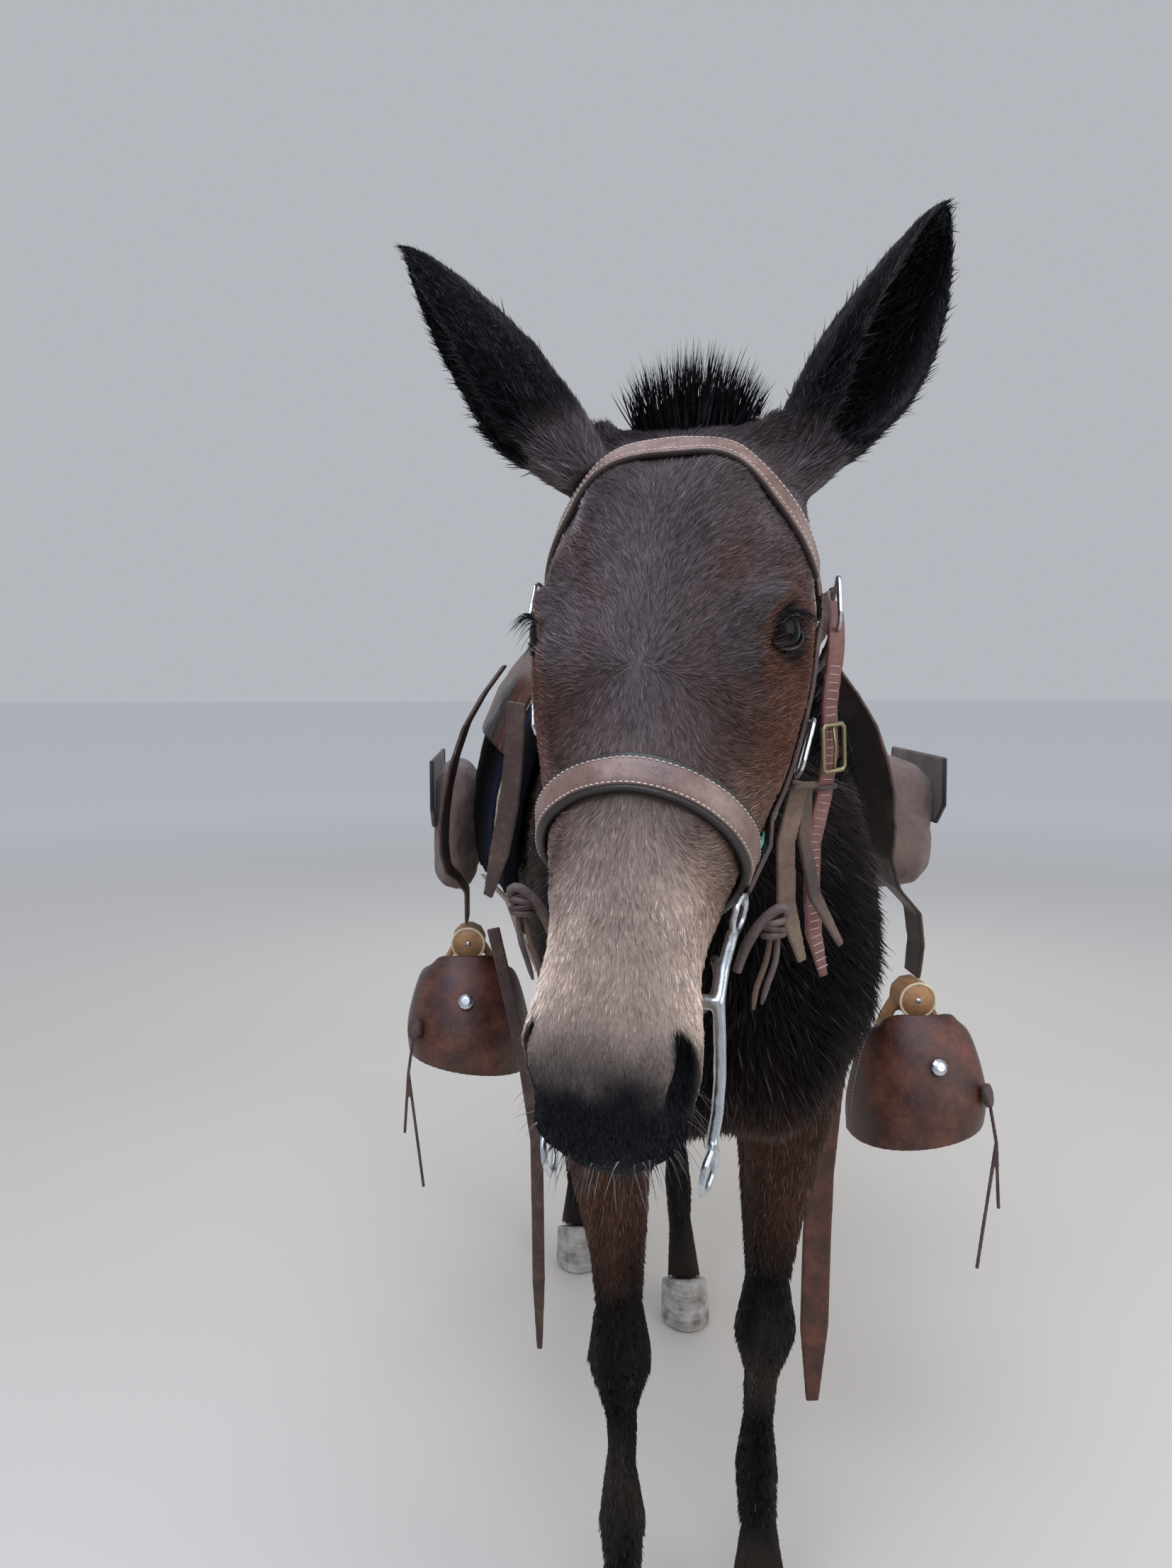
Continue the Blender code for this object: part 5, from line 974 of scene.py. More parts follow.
def longHair(name, chosen, count, length, width, colour, wayOf, segments=3, spread=0.10, toneSpread=0.3, flat=0.45):
    # hairs from the part of the skin where chosen is above zero
    tris, shares = rootsOn(skin, count, chosen)
    places = along(skinPlaces, tris, shares)
    normals = along(skinNormals, tris, shares)
    ways, bends, scale = wayOf(places, normals)
    ways = unit(ways + chance.normal(0, spread, ways.shape))
    colours = colour[None] * np.exp(chance.normal(0, toneSpread, len(places)))[:, None]
    ups = unit(np.cross(ways, chance.normal(0, 1, ways.shape)))
    lengths = length * scale * np.exp(chance.normal(0, 0.08, len(places)))
    widths = width * np.exp(chance.normal(0, 0.2, len(places)))
    return hairPiece(name, places, ways, ups, lengths, widths, colours, segments, bends, flat=flat, sink=0.0015)


mane = {
    "tuftHairs": 3600, "tuftHeight": 0.064, "tuftWidth": 0.0013,
    "maneHairs": 6500, "maneHeight": 0.050, "maneWidth": 0.0015,
    "whiskers": 150, "whiskerLength": 0.019, "whiskerWidth": 0.00048,
    "earHairs": 4200, "earLength": 0.018, "earWidth": 0.0009,
}
own = inHead(skinPlaces)
local = skinPlaces - bodyPlace


def tuftWay(places, normals):
    spot = np.clip(inHead(places)[:, 0] / 0.042, -1.2, 1.2)
    ones = np.ones(len(spot))
    ways = np.stack([spot * 0.42, -0.16 * ones, ones], 1)
    ways = ways + 0.25 * np.stack([cloud(places, 0.012, 8), cloud(places, 0.012, 9), 0 * spot], 1)
    bends = np.stack([0.1 * cloud(places, 0.02, 4), -0.22 * ones, -0.05 * ones], 1)
    return ways, bends, (1 - 0.42 * np.clip(spot * spot, 0, 1)) * (1 + 0.10 * cloud(places, 0.010, 3))


def maneWay(places, normals):
    here = places - bodyPlace
    ones = np.ones(len(here))
    lean = 0.22 * cloud(places, 0.025, 6) + (here[:, 0] - crestMiddle(here[:, 1])) * 9
    ways = np.stack([lean, 0.10 + 0.15 * cloud(places, 0.03, 7), ones], 1)
    bends = np.stack([lean * 0.3, 0.12 * ones, -0.05 * ones], 1)
    return ways, bends, np.interp(here[:, 1], (-0.36, -0.30, -0.1, 0.08), (0.80, 1.0, 1.0, 0.62))


tuftRoots = (np.abs(own[:, 0]) < 0.046) & (own[:, 1] > 0.004) & (own[:, 1] < 0.060) & (skinNormals[:, 2] > 0.2)
longHair("forelock_clipped", tuftRoots.astype(float), mane["tuftHairs"], mane["tuftHeight"], mane["tuftWidth"],
         hue["mane"] * 1.2, tuftWay)
crestRoots = (np.abs(local[:, 0] - crestMiddle(local[:, 1])) < 0.016) & (local[:, 1] > -0.355) & (local[:, 1] < 0.080)
crestRoots &= (skinNormals[:, 2] > 0.4) & (local[:, 2] > 1.3)
longHair("mane_clipped", crestRoots.astype(float), mane["maneHairs"], mane["maneHeight"], mane["maneWidth"],
         hue["mane"] * 1.2, maneWay)


def whiskerWay(places, normals):
    bends = np.tile((0.0, -0.05, -0.30), (len(places), 1))
    return normals * 0.9 + headTurn3 @ (0, -0.35, -0.25), bends, np.exp(chance.normal(0, 0.3, len(places)))


onHead = skinRegion == 0
lips = ((own[:, 1] < -0.500) & (own[:, 2] < -0.075) & onHead).astype(float)
lips += ((own[:, 1] < -0.44) & (own[:, 2] < -0.135) & onHead) * 0.6
longHair("whiskers", lips, mane["whiskers"], mane["whiskerLength"], mane["whiskerWidth"], hue["whisker"], whiskerWay,
         4, 0.22, 0.7, flat=0.8)
for number, (name, side) in enumerate(sides, 1):
    up, base, axis, opens = earAt(skinPlaces, name)

    def earWay(places, normals, axis=axis, opens=opens, name=name):
        ways = axis * 0.8 + opens * 0.55 + normals * 0.15
        return ways, np.tile(opens * -0.15, (len(places), 1)), 1 - 0.55 * ease(0.4, 1.0, earAt(places, name)[0])

    inside = ((skinRegion == number) & (up > 0.05) & (up < 0.97)) * ease(0.25, 0.6, np.abs(skinNormals @ opens))
    off = np.linalg.norm(np.cross(skinPlaces - base, axis), axis=1)
    longHair(f"ear_hair_{name}", inside * (0.25 + ease(0.3, 0.9, off / 0.045)), mane["earHairs"] // 2,
             mane["earLength"], mane["earWidth"], hue["earHair"], earWay, spread=0.25)
print("mane, lashes and whiskers done")

# The tail: a short dock under long hair that falls in locks to the hocks

tail = {
    "hairs": 2200, "rings": 7, "locks": 26, "width": 0.0022, "dockHairs": 1800, "dockRings": 4, "dockWidth": 0.0018,
    "dockRadii": (0.030, 0.030, 0.026, 0.018, 0.010),
    "line": ((0.0, 1.215, 1.372), (0.0, 1.290, 1.345), (0.005, 1.330, 1.260), (0.008, 1.350, 1.120), (0.006, 1.360, 0.960)),
    "fall": ((0.0, 1.225, 1.372), (0.0, 1.290, 1.345), (0.005, 1.330, 1.260), (0.008, 1.350, 1.120),
             (0.006, 1.362, 0.900), (0.004, 1.370, 0.680), (0.002, 1.372, 0.560), (0.0, 1.372, 0.350)),
    "spread": ((0.35, 0.024), (0.5, 0.046), (0.9, 0.055), (1.2, 0.040), (1.36, 0.028)),
    "clear": ((0.94, 0.0), (0.96, 0.010), (1.12, 0.018), (1.26, 0.026), (1.345, 0.030)),
}
knots = np.linspace(0, 1, len(tail["dockRadii"]))
thick = list(np.interp(np.linspace(0, 1, 14), knots, tail["dockRadii"]))
dock = roundBar("tail_dock", along3d(tail["line"], 14) + bodyPlace, thick, "hide", "dark_points", "tail", steps=4)
paint(dock, np.tile(hue["trunk"] * 0.6, (len(dock.data.vertices), 1)))
count, rings = tail["hairs"], tail["rings"]
fall = np.array(tail["fall"])
starts = np.interp(chance.random(count) ** 0.9, (0, 1), (1.355, 0.98))
around = chance.random(count) * 2 * math.pi
lockOf = np.floor(chance.random(count) * tail["locks"])
lockAngle = lockOf * 2.39996
tips = 0.375 + 0.14 * ((lockOf * 7) % 11) / 11 + 0.03 * chance.random(count)
middles = np.empty((count, rings + 1, 3))
for ring in range(rings + 1):
    share = ring / rings
    level = starts + (tips - starts) * share
    angle = around + (lockAngle - around) * ease(0.15, 0.8, np.full(count, share)) * 0.75
    reach = np.interp(level, *zip(*tail["spread"])) * np.minimum(1, 0.35 + 1.2 * share ** 0.5)
    reach = reach * (0.75 + 0.25 * chance.random(count) * (1 - share))
    reach = np.maximum(reach, np.interp(level, *zip(*tail["clear"])) * 1.04)
    middles[:, ring, :2] = between(-level, -fall[:, 2], fall[:, :2]) + bodyPlace[:2]
    middles[:, ring, :2] += np.stack([np.cos(angle), 0.75 * np.sin(angle)], 1) * reach[:, None]
    middles[:, ring, 2] = level + bodyPlace[2]
tones = np.exp(chance.normal(0, 0.3, count))[:, None]
outward = (middles[:, 3] - bodyPlace - (0, 1.36, 0)) * (1, 1, 0)
hairMesh("tail_hair", middles, unit(outward, 1e-6), tail["width"] * np.exp(chance.normal(0, 0.2, count)),
         hue["mane"] * tones * 1.3, sink=0.0, taper=0.8)
# short hair lies down the dock, thinner towards the croup
curve = along3d(tail["line"], 60) + bodyPlace
downward = unit(np.gradient(curve, axis=0))
count = tail["dockHairs"]
start, angle = chance.random(count) * 0.86 - 0.03, chance.random(count) * 2 * math.pi
longer = np.interp(start, (0.0, 0.3, 0.8), (0.035, 0.060, 0.11)) * np.exp(chance.normal(0, 0.2, count))
middles = np.empty((count, tail["dockRings"] + 1, 3))
for ring in range(tail["dockRings"] + 1):
    share = ring / tail["dockRings"]
    at = np.clip(start + longer * share / 0.46, 0, 1)
    spot, way = (between(at, np.linspace(0, 1, len(curve)), table) for table in (curve, downward))
    across = np.tile((1.0, 0, 0), (count, 1))
    outward = across * np.cos(angle)[:, None] + np.cross(way, across) * np.sin(angle)[:, None]
    radius = np.interp(at, knots, tail["dockRadii"]) + 0.0004 + 0.0045 * share * (0.4 + 0.6 * chance.random(count))
    middles[:, ring] = spot + outward * radius[:, None]
    if ring == 1:
        facing = outward
tones = np.exp(chance.normal(0, 0.25, count))[:, None]
blend = ease(0.05, 0.45, start)[:, None]
hairMesh("tail_dock_hair", middles, facing, tail["dockWidth"] * np.exp(chance.normal(0, 0.2, count)),
         (hue["trunk"] * 0.55 * (1 - blend) + hue["mane"] * blend * 1.2) * tones, sink=0.0, taper=0.8)
bpy.data.objects.remove(guide)
print("coat:", sum(len(p.data.polygons) for p in coatPieces), "triangles in", len(coatPieces), "pieces")

# Hooves: horn in fine growth rings, with pale dusty blotches

horn, shader = material("hoof_horn_ringed_dusty", {"Roughness": 0.6})
place = {"Vector": node(horn, "ShaderNodeTexCoord").outputs["Object"]}
stretch = node(horn, "ShaderNodeMapping", values={"Scale": (6, 6, 260)}, links=place)
growth = node(horn, "ShaderNodeTexNoise", {}, {"Scale": 1.0, "Detail": 3.0}, {"Vector": stretch.outputs["Vector"]})
blotch = node(horn, "ShaderNodeTexNoise", values={"Scale": 45.0, "Detail": 5.0}, links=place)
heights = {0: growth.outputs["Fac"], 2: blotch.outputs["Fac"]}
blend = node(horn, "ShaderNodeMath", {"operation": "MULTIPLY_ADD"}, {1: 0.5}, heights)
tones = ((0.45, solid("#5a5550")), (0.7, solid("#9a958f")), (0.95, solid("#bcb8b2")))
tint = node(horn, "ShaderNodeValToRGB", links={"Fac": blend.outputs["Value"]}, stops=tones)
relief = node(horn, "ShaderNodeBump", {}, {"Strength": 0.5, "Distance": 0.001}, {"Height": growth.outputs["Fac"]})
join(horn, shader, {"Base Color": tint.outputs["Color"], "Normal": relief.outputs["Normal"]})
finishes["horn"] = horn
for name in ("fore_left", "fore_right", "hind_left", "hind_right"):
    hoof = remeshed(copyOf(f"hoof_{name}", f"horn_{name}"), 0.0025, 6)
    dressed(hoof, "horn", "hoof_horn", f"hoof_{name}")
print("hooves done")

# Leather, steel and cloth

def leather(name, base, dark, worn, rough=0.5, grain=900.0):
    # drum-dyed leather: blotches, darker handled parts, paler wear, fine pores
    made, shader = material(name, {"Specular IOR Level": 0.45})
    place = {"Vector": node(made, "ShaderNodeTexCoord").outputs["Object"]}
    blotch = node(made, "ShaderNodeTexNoise", {}, {"Scale": 22.0, "Detail": 6.0, "Roughness": 0.62}, place)
    fine = node(made, "ShaderNodeTexNoise", {}, {"Scale": 240.0, "Detail": 4.0, "Roughness": 0.6}, place)
    pores = node(made, "ShaderNodeTexVoronoi", {}, {"Scale": grain}, place)
    heights = {0: fine.outputs["Fac"], 2: blotch.outputs["Fac"]}
    both = node(made, "ShaderNodeMath", {"operation": "MULTIPLY_ADD"}, {1: 0.35}, heights)
    tones = ((0.40, solid(dark)), (0.64, solid(base)), (0.94, solid(worn)))
    dyed = node(made, "ShaderNodeValToRGB", links={"Fac": both.outputs["Value"]}, stops=tones)
    edge = node(made, "ShaderNodeAttribute", {"attribute_name": "edge"})
    inked = node(made, "ShaderNodeMix", {"data_type": "RGBA"}, {"B": solid("#2a2422")},
                 {"Factor": edge.outputs["Fac"], "A": dyed.outputs["Color"]})
    heights = {0: fine.outputs["Fac"], 2: pores.outputs["Distance"]}
    relief = node(made, "ShaderNodeMath", {"operation": "MULTIPLY_ADD"}, {1: 0.8}, heights)
    bump = node(made, "ShaderNodeBump", {}, {"Strength": 0.35, "Distance": 0.0006}, {"Height": relief.outputs["Value"]})
    limits = {"From Min": 0.3, "From Max": 0.7, "To Min": rough - 0.10, "To Max": rough + 0.15}
    shine = node(made, "ShaderNodeMapRange", {}, limits, {"Value": blotch.outputs["Fac"]})
    join(made, shader, {
        "Base Color": inked.outputs["Result"], "Normal": bump.outputs["Normal"], "Roughness": shine.outputs["Result"],
    })
    return made


def metal(name, colour, rough):
    made, shader = material(name, {"Base Color": solid(colour), "Metallic": 1.0})
    place = {"Vector": node(made, "ShaderNodeTexCoord").outputs["Object"]}
    wear = node(made, "ShaderNodeTexNoise", {}, {"Scale": 160.0, "Detail": 5.0}, place)
    limits = {"From Min": 0.3, "From Max": 0.7, "To Min": rough, "To Max": rough + 0.22}
    shine = node(made, "ShaderNodeMapRange", {}, limits, {"Value": wear.outputs["Fac"]})
    bump = node(made, "ShaderNodeBump", {}, {"Strength": 0.12, "Distance": 0.0003}, {"Height": wear.outputs["Fac"]})
    join(made, shader, {"Roughness": shine.outputs["Result"], "Normal": bump.outputs["Normal"]})
    return made


def woven(name, colours, threadMm, alongAxes=("X", "Z"), rough=0.85, strength=0.6):
    # cloth in plain weave, its threads' pitch in millimetres
    made, shader = material(name, {"Roughness": rough, "Sheen Weight": 0.15})
    place = {"Vector": node(made, "ShaderNodeTexCoord").outputs["Object"]}
    threads = {"Scale": 0.314 / (threadMm / 1000), "Distortion": 0.6, "Detail": 1.0}
    bands = [node(made, "ShaderNodeTexWave", {"bands_direction": axis}, threads, place) for axis in alongAxes]
    weave = node(made, "ShaderNodeMath", {"operation": "MAXIMUM"}, {},
                 {0: bands[0].outputs["Fac"], 1: bands[-1].outputs["Fac"]})
    cloudy = node(made, "ShaderNodeTexNoise", {}, {"Scale": 14.0, "Detail": 6.0, "Roughness": 0.65}, place)
    heights = {0: weave.outputs["Value"], 2: cloudy.outputs["Fac"]}
    both = node(made, "ShaderNodeMath", {"operation": "MULTIPLY_ADD"}, {1: 0.18}, heights)
    tones = [(level, solid(colour)) for level, colour in zip((0.42, 0.62, 0.85), colours)]
    dyed = node(made, "ShaderNodeValToRGB", links={"Fac": both.outputs["Value"]}, stops=tones)
    depth = {"Strength": strength, "Distance": threadMm / 2500}
    bump = node(made, "ShaderNodeBump", {}, depth, {"Height": weave.outputs["Value"]})
    join(made, shader, {"Base Color": dyed.outputs["Color"], "Normal": bump.outputs["Normal"]})
    return made


finishes.update({
    "strap": leather("bridle_leather_russet_worn", "#745a51", "#503e39", "#9a857c", 0.42),
    "dark": leather("oiled_leather_dark_brown", "#43312b", "#2a201e", "#6b564b", 0.50),
    "saddle": leather("saddle_leather_mahogany_smooth", "#46271f", "#220f0f", "#744434", 0.34, 1300.0),
    "rawhide": leather("rawhide_natural_tan", "#a97c52", "#7c5736", "#caa47a", 0.48, 700.0),
    "latigo": leather("latigo_leather_tan_weathered", "#5c473a", "#392b25", "#7d6857", 0.50),
    "oxblood": leather("bridle_leather_oxblood_worn", "#69403a", "#4b2d29", "#8d665e", 0.42),
    "ivory": leather("rawhide_edge_pale", "#d8c9a6", "#b7a57f", "#efe4c8", 0.45, 500.0),
    "plait": leather("rawhide_lace_grey_weathered", "#574844", "#352c2a", "#80706a", 0.62, 500.0),
    "steel": metal("steel_nickel_plated_worn", "#c3c8cc", 0.20),
    "brass": metal("brass_tarnished_dull", "#8f8466", 0.30),
    "canvas": woven("cotton_canvas_brown", ("#4c3c38", "#66524b", "#7d6a61"), 1.4),
    "nylon": woven("nylon_webbing_teal", ("#2f7a70", "#44a092", "#6fc0b0"), 1.6, rough=0.6),
    "mohair": woven("mohair_cord_undyed", ("#7a6f60", "#9c907d", "#b9ad98"), 5.0, ("Y",), 0.9, 1.0),
    "binding": woven("cotton_binding_black", ("#0d0d10", "#17171a", "#26262a"), 1.2),
    "thread": woven("linen_thread_waxed_pale", ("#a49a8c", "#c6bcae", "#ddd5c8"), 0.8, rough=0.6),
})
# the pad's wool: stripes across it from its front edge backwards
wool = {"run": 0.20, "stripes": (
    (0.0, "#0c0c10"), (0.14, "#141d45"), (0.27, "#10161c"), (0.44, "#b3aa97"),
    (0.51, "#0f1016"), (0.62, "#161b33"), (0.80, "#0f1016"),
)}
pad, shader = material("wool_pad_navy_striped", {"Roughness": 0.95, "Specular IOR Level": 0.1})
place = {"Vector": node(pad, "ShaderNodeTexCoord").outputs["Object"]}
parts = node(pad, "ShaderNodeSeparateXYZ", links=place)
fuzz = node(pad, "ShaderNodeTexNoise", {}, {"Scale": 260.0, "Detail": 5.0, "Roughness": 0.7}, place)
heights = {0: fuzz.outputs["Fac"], 2: parts.outputs["Y"]}
wobble = node(pad, "ShaderNodeMath", {"operation": "MULTIPLY_ADD"}, {1: 0.006}, heights)
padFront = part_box("saddle_pad")[0].y
limits = {"From Min": padFront, "From Max": padFront + wool["run"]}
fromFront = node(pad, "ShaderNodeMapRange", {}, limits, {"Value": wobble.outputs["Value"]})
tones = [(level, solid(colour)) for level, colour in wool["stripes"]]
stripes = node(pad, "ShaderNodeValToRGB", links={"Fac": fromFront.outputs["Result"]}, stops=tones)
stripes.color_ramp.interpolation = "CONSTANT"
greys = ((0.3, (0.35, 0.35, 0.35, 1)), (0.7, (1, 1, 1, 1)))
mottles = node(pad, "ShaderNodeValToRGB", links={"Fac": fuzz.outputs["Fac"]}, stops=greys)
mottled = node(pad, "ShaderNodeMix", {"data_type": "RGBA", "blend_type": "MULTIPLY"}, {"Factor": 0.6},
               {"A": stripes.outputs["Color"], "B": mottles.outputs["Color"]})
weave = node(pad, "ShaderNodeTexWave", {"bands_direction": "Y"}, {"Scale": 90.0, "Distortion": 2.0}, place)
heights = {0: weave.outputs["Fac"], 2: fuzz.outputs["Fac"]}
heights = node(pad, "ShaderNodeMath", {"operation": "MULTIPLY_ADD"}, {1: 0.5}, heights)
bump = node(pad, "ShaderNodeBump", {}, {"Strength": 0.8, "Distance": 0.0015}, {"Height": heights.outputs["Value"]})
join(pad, shader, {"Base Color": mottled.outputs["Result"], "Normal": bump.outputs["Normal"]})
finishes["pad"] = pad


def thinned(made, share):
    # fewer triangles where a form is flat, with its edges kept
    total = sum(len(p.vertices) - 2 for p in made.data.polygons)
    ratio = max(share, 5000 / total)
    if ratio < 1:
        step = made.modifiers.new("thin", "DECIMATE")
        step.ratio, step.use_collapse_triangulate = ratio, True
        applied(made)
    return made


def softened(node, finish, slot, voxel, smoothing, swell=0.0):
    made = thinned(remeshed(copyOf(node, f"{node}_piece", swell), voxel, smoothing), 0.20)
    return dressed(made, finish, slot, node)


def capsules(name, places, ways, ups, length, radius, finish, slot):
    # many small rounded bars as one mesh: stitches and lacing
    places, ways, ups = (np.array([v[:] for v in some]) for some in (places, ways, ups))
    sides = np.cross(ways, ups)
    rings = [(-0.5, 0.0), (-0.34, 1.0), (0.34, 1.0), (0.5, 0.0)]
    count, each = len(places), 10
    verts = np.empty((count, each, 3))
    verts[:, 0] = places + ways * length * rings[0][0] - ups * radius
    for r in (1, 2):
        level = places + ways * length * rings[r][0]
        for k in range(4):
            a = math.pi / 4 + math.pi / 2 * k
            verts[:, 1 + (r - 1) * 4 + k] = level + (sides * math.cos(a) + ups * math.sin(a)) * radius
    verts[:, 9] = places + ways * length * rings[3][0] - ups * radius
    faces = [(0, 1 + (k + 1) % 4, 1 + k) for k in range(4)] + [(9, 5 + k, 5 + (k + 1) % 4) for k in range(4)]
    for k in range(4):
        faces += [(1 + k, 1 + (k + 1) % 4, 5 + (k + 1) % 4), (1 + k, 5 + (k + 1) % 4, 5 + k)]
    faces = (np.array(faces)[None] + (np.arange(count) * each)[:, None, None]).reshape(-1, 3)
    return dressed(meshOf(name, verts.reshape(-1, 3).tolist(), faces.tolist()), finish, slot)


# Browband and noseband: laid again, round and even, on the middle line of their solids

bands = {
    "browband": {
        "angles": (-38, 218), "level": -0.060, "width": 0.0228, "thick": 0.0038, "rows": 0.0078,
        "sunk": 0.05, "padded": False,
        "profile": ((-1.0, -0.2), (-1.0, 0.55), (-0.97, 0.84), (-0.90, 1.0), (-0.80, 1.04), (-0.72, 0.96),
                    (-0.66, 1.02), (-0.3, 1.06), (0.0, 1.07)),
    },
    "noseband": {
        "angles": (-180, 180), "level": -0.085, "width": 0.0285, "thick": 0.0052, "rows": 0.0092,
        "sunk": 0.17, "padded": True,
        "profile": ((-1.0, -0.2), (-1.02, 0.35), (-0.96, 0.75), (-0.86, 0.92), (-0.76, 0.80), (-0.73, 0.84),
                    (-0.70, 1.06), (-0.66, 1.14), (-0.3, 1.20), (0.0, 1.22)),
    },
}
stitch = {"pitch": 0.0044, "length": 0.0031, "radius": 0.00052}


def smoothAlong(values, closed, times):
    values = np.array(values, float)
    for _ in range(times):
        before, after = np.roll(values, 1, 0), np.roll(values, -1, 0)
        if not closed:
            before[0], after[-1] = values[0], values[-1]
        values = values * 0.5 + (before + after) * 0.25
    return values


def bandLine(name, given):
    # the strap's middle, found by rays towards the head's long axis
    tree, axis = treeOf(nodes[name]), given["level"]
    closed = given["angles"][1] - given["angles"][0] >= 360
    angles = np.radians(np.linspace(*given["angles"], 181)[:-1] if closed else np.linspace(*given["angles"], 131))
    downNose = inHead(placesOf(nodes[name]))[:, 1]
    line, levels = [], np.arange(downNose.min() - 0.002, downNose.max() + 0.002, 0.0015)
    for angle in angles:
        out = Vector((math.cos(angle), 0, math.sin(angle)))
        starts = [headPlace @ (Vector((0, level, axis)) + out * 0.30) for level in levels]
        hits = [tree.ray_cast(start, headTurn.to_3x3() @ -out, 0.30)[0] for start in starts]
        spots = np.array([(headPlace.inverted() @ hit)[:] for hit in hits if hit])
        if len(spots):
            reach = np.median(np.linalg.norm(spots[:, (0, 2)] - (0, axis), axis=1))
            middle = (spots[0, 1] + spots[-1, 1]) / 2
            line.append((math.cos(angle) * reach, middle, axis + math.sin(angle) * reach))
    return np.array(line), closed


for name, given in bands.items():
    line, closed = bandLine(name, given)
    line = smoothAlong(line, closed, 30)
    way = np.roll(line, -1, 0) - np.roll(line, 1, 0)
    if not closed:
        way[0], way[-1] = line[1] - line[0], line[-1] - line[-2]
    way = unit(way)
    outward = (line - (0, 0, given["level"])) * (1, 0, 1)
    outward = smoothAlong(unit(outward - way * np.sum(outward * way, 1)[:, None]), closed, 10)
    # the strap faces as the head under it does
    facing = [headPlace.inverted().to_3x3() @ skinTree.find_nearest(headPlace @ Vector(p))[1] for p in line]
    facing = smoothAlong([f[:] for f in facing], closed, 12) * 0.8 + outward * 0.2
    facing = unit(facing - way * np.sum(facing * way, 1)[:, None])
    across = np.cross(facing, way)
    half, thick = given["width"] / 2, given["thick"]
    profile = given["profile"] + tuple((-u, h) for u, h in given["profile"][-2::-1])
    count, each = len(line), len(profile)
    verts = np.stack([line + across * (u * half) + facing * ((h - 1) * thick) for u, h in profile], 1)
    faces = []
    for i in range(count if closed else count - 1):
        n = (i + 1) % count
        faces += [(i * each + k, i * each + (k + 1) % each, n * each + (k + 1) % each, n * each + k) for k in range(each)]
    if not closed:
        faces += [tuple(range(each)), tuple(range(count * each - 1, (count - 1) * each - 1, -1))]
    made = meshOf(f"{name}_piece", outOfHead(verts.reshape(-1, 3)).tolist(), faces)
    dark = [1.0 if given["padded"] and abs(u) > 0.715 else (0.8 if abs(u) > 0.93 else 0.0) for u, h in profile]
    made.data.attributes.new("edge", "FLOAT", "POINT").data.foreach_set("value", np.tile(dark, count))
    dressed(made, "strap", "leather", name)
    # two rows of stitches, each thread pulled slightly into the leather
    runs = runOf(line)
    spots = np.arange(0.004, runs[-1] - 0.004, stitch["pitch"])
    middle, aside, ways, ups = (between(spots, runs, table) for table in (line, across, way, facing))
    lifted = middle + ups * (thick * given["sunk"] + 0.0001)
    places = np.concatenate([lifted + aside * row for row in (-given["rows"], given["rows"])])
    turn = np.array(headPlace)[:3, :3].T
    capsules(f"{name}_stitches", outOfHead(places), np.tile(ways, (2, 1)) @ turn, np.tile(ups, (2, 1)) @ turn,
             stitch["length"], stitch["radius"], "thread", "leather")
print("browband and noseband done")

# The other straps, steel and saddlery: the solids with their corners rounded
# names, finish, slot, voxel, smoothing steps and swelling

plain = (
    ("crownpiece", "strap", "leather", 0.0016, 8, 0.0002),
    ("cheek_strap_left cheek_strap_right", "dark", "dark_leather", 0.0013, 6, 0.0003),
    ("halter_strap_left halter_strap_right", "strap", "leather", 0.0013, 6, 0.0003),
    ("throat_latch billet_right", "dark", "dark_leather", 0.0018, 6, 0.0004),
    ("strap_end_left_front", "latigo", "leather", 0.0012, 6, 0.0002),
    ("strap_end_left_middle strap_end_right", "dark", "leather", 0.0012, 6, 0.0002),
    ("strap_end_left_rear", "oxblood", "leather", 0.0012, 6, 0.0002),
    ("curb_strap", "dark", "dark_leather", 0.0018, 6, 0.0003),
    ("nylon_strip", "nylon", "nylon_webbing", 0.0008, 3, 0.0003),
    ("billet_left", "saddle", "leather", 0.0022, 6, 0.0004),
    ("strings_left strings_right", "dark", "dark_leather", 0.0013, 4, 0.0002),
    ("bit", "steel", "steel", 0.0014, 6, 0.0003),
    ("buckle_brow_left buckle_brow_right buckle_cheek_left buckle_cheek_right buckle_halter_left",
     "steel", "steel", 0.0008, 4, 0.0002),
    ("concho_left concho_right", "steel", "steel", 0.0008, 10, 0.0006),
    ("fender_left fender_right", "dark", "dark_leather", 0.0028, 12, 0.0006),
    ("stirrup_left stirrup_right", "rawhide", "stirrup_wood", 0.0022, 8, 0.0006),
    ("cinch", "mohair", "mohair", 0.0030, 8, 0.0004),
    ("rear_girth", "dark", "dark_leather", 0.0026, 8, 0.0004),
    ("saddle", "saddle", "leather", 0.0042, 34, 0.0012),
    ("saddle_skirts", "saddle", "leather", 0.0032, 20, 0.0008),
    ("bag_yoke", "canvas", "bag_canvas", 0.0028, 6, 0.0004),
    ("bag_flap_left bag_flap_right", "canvas", "bag_canvas", 0.0024, 6, 0.0004),
)
for names, *settings in plain:
    for name in names.split():
        softened(name, *settings)
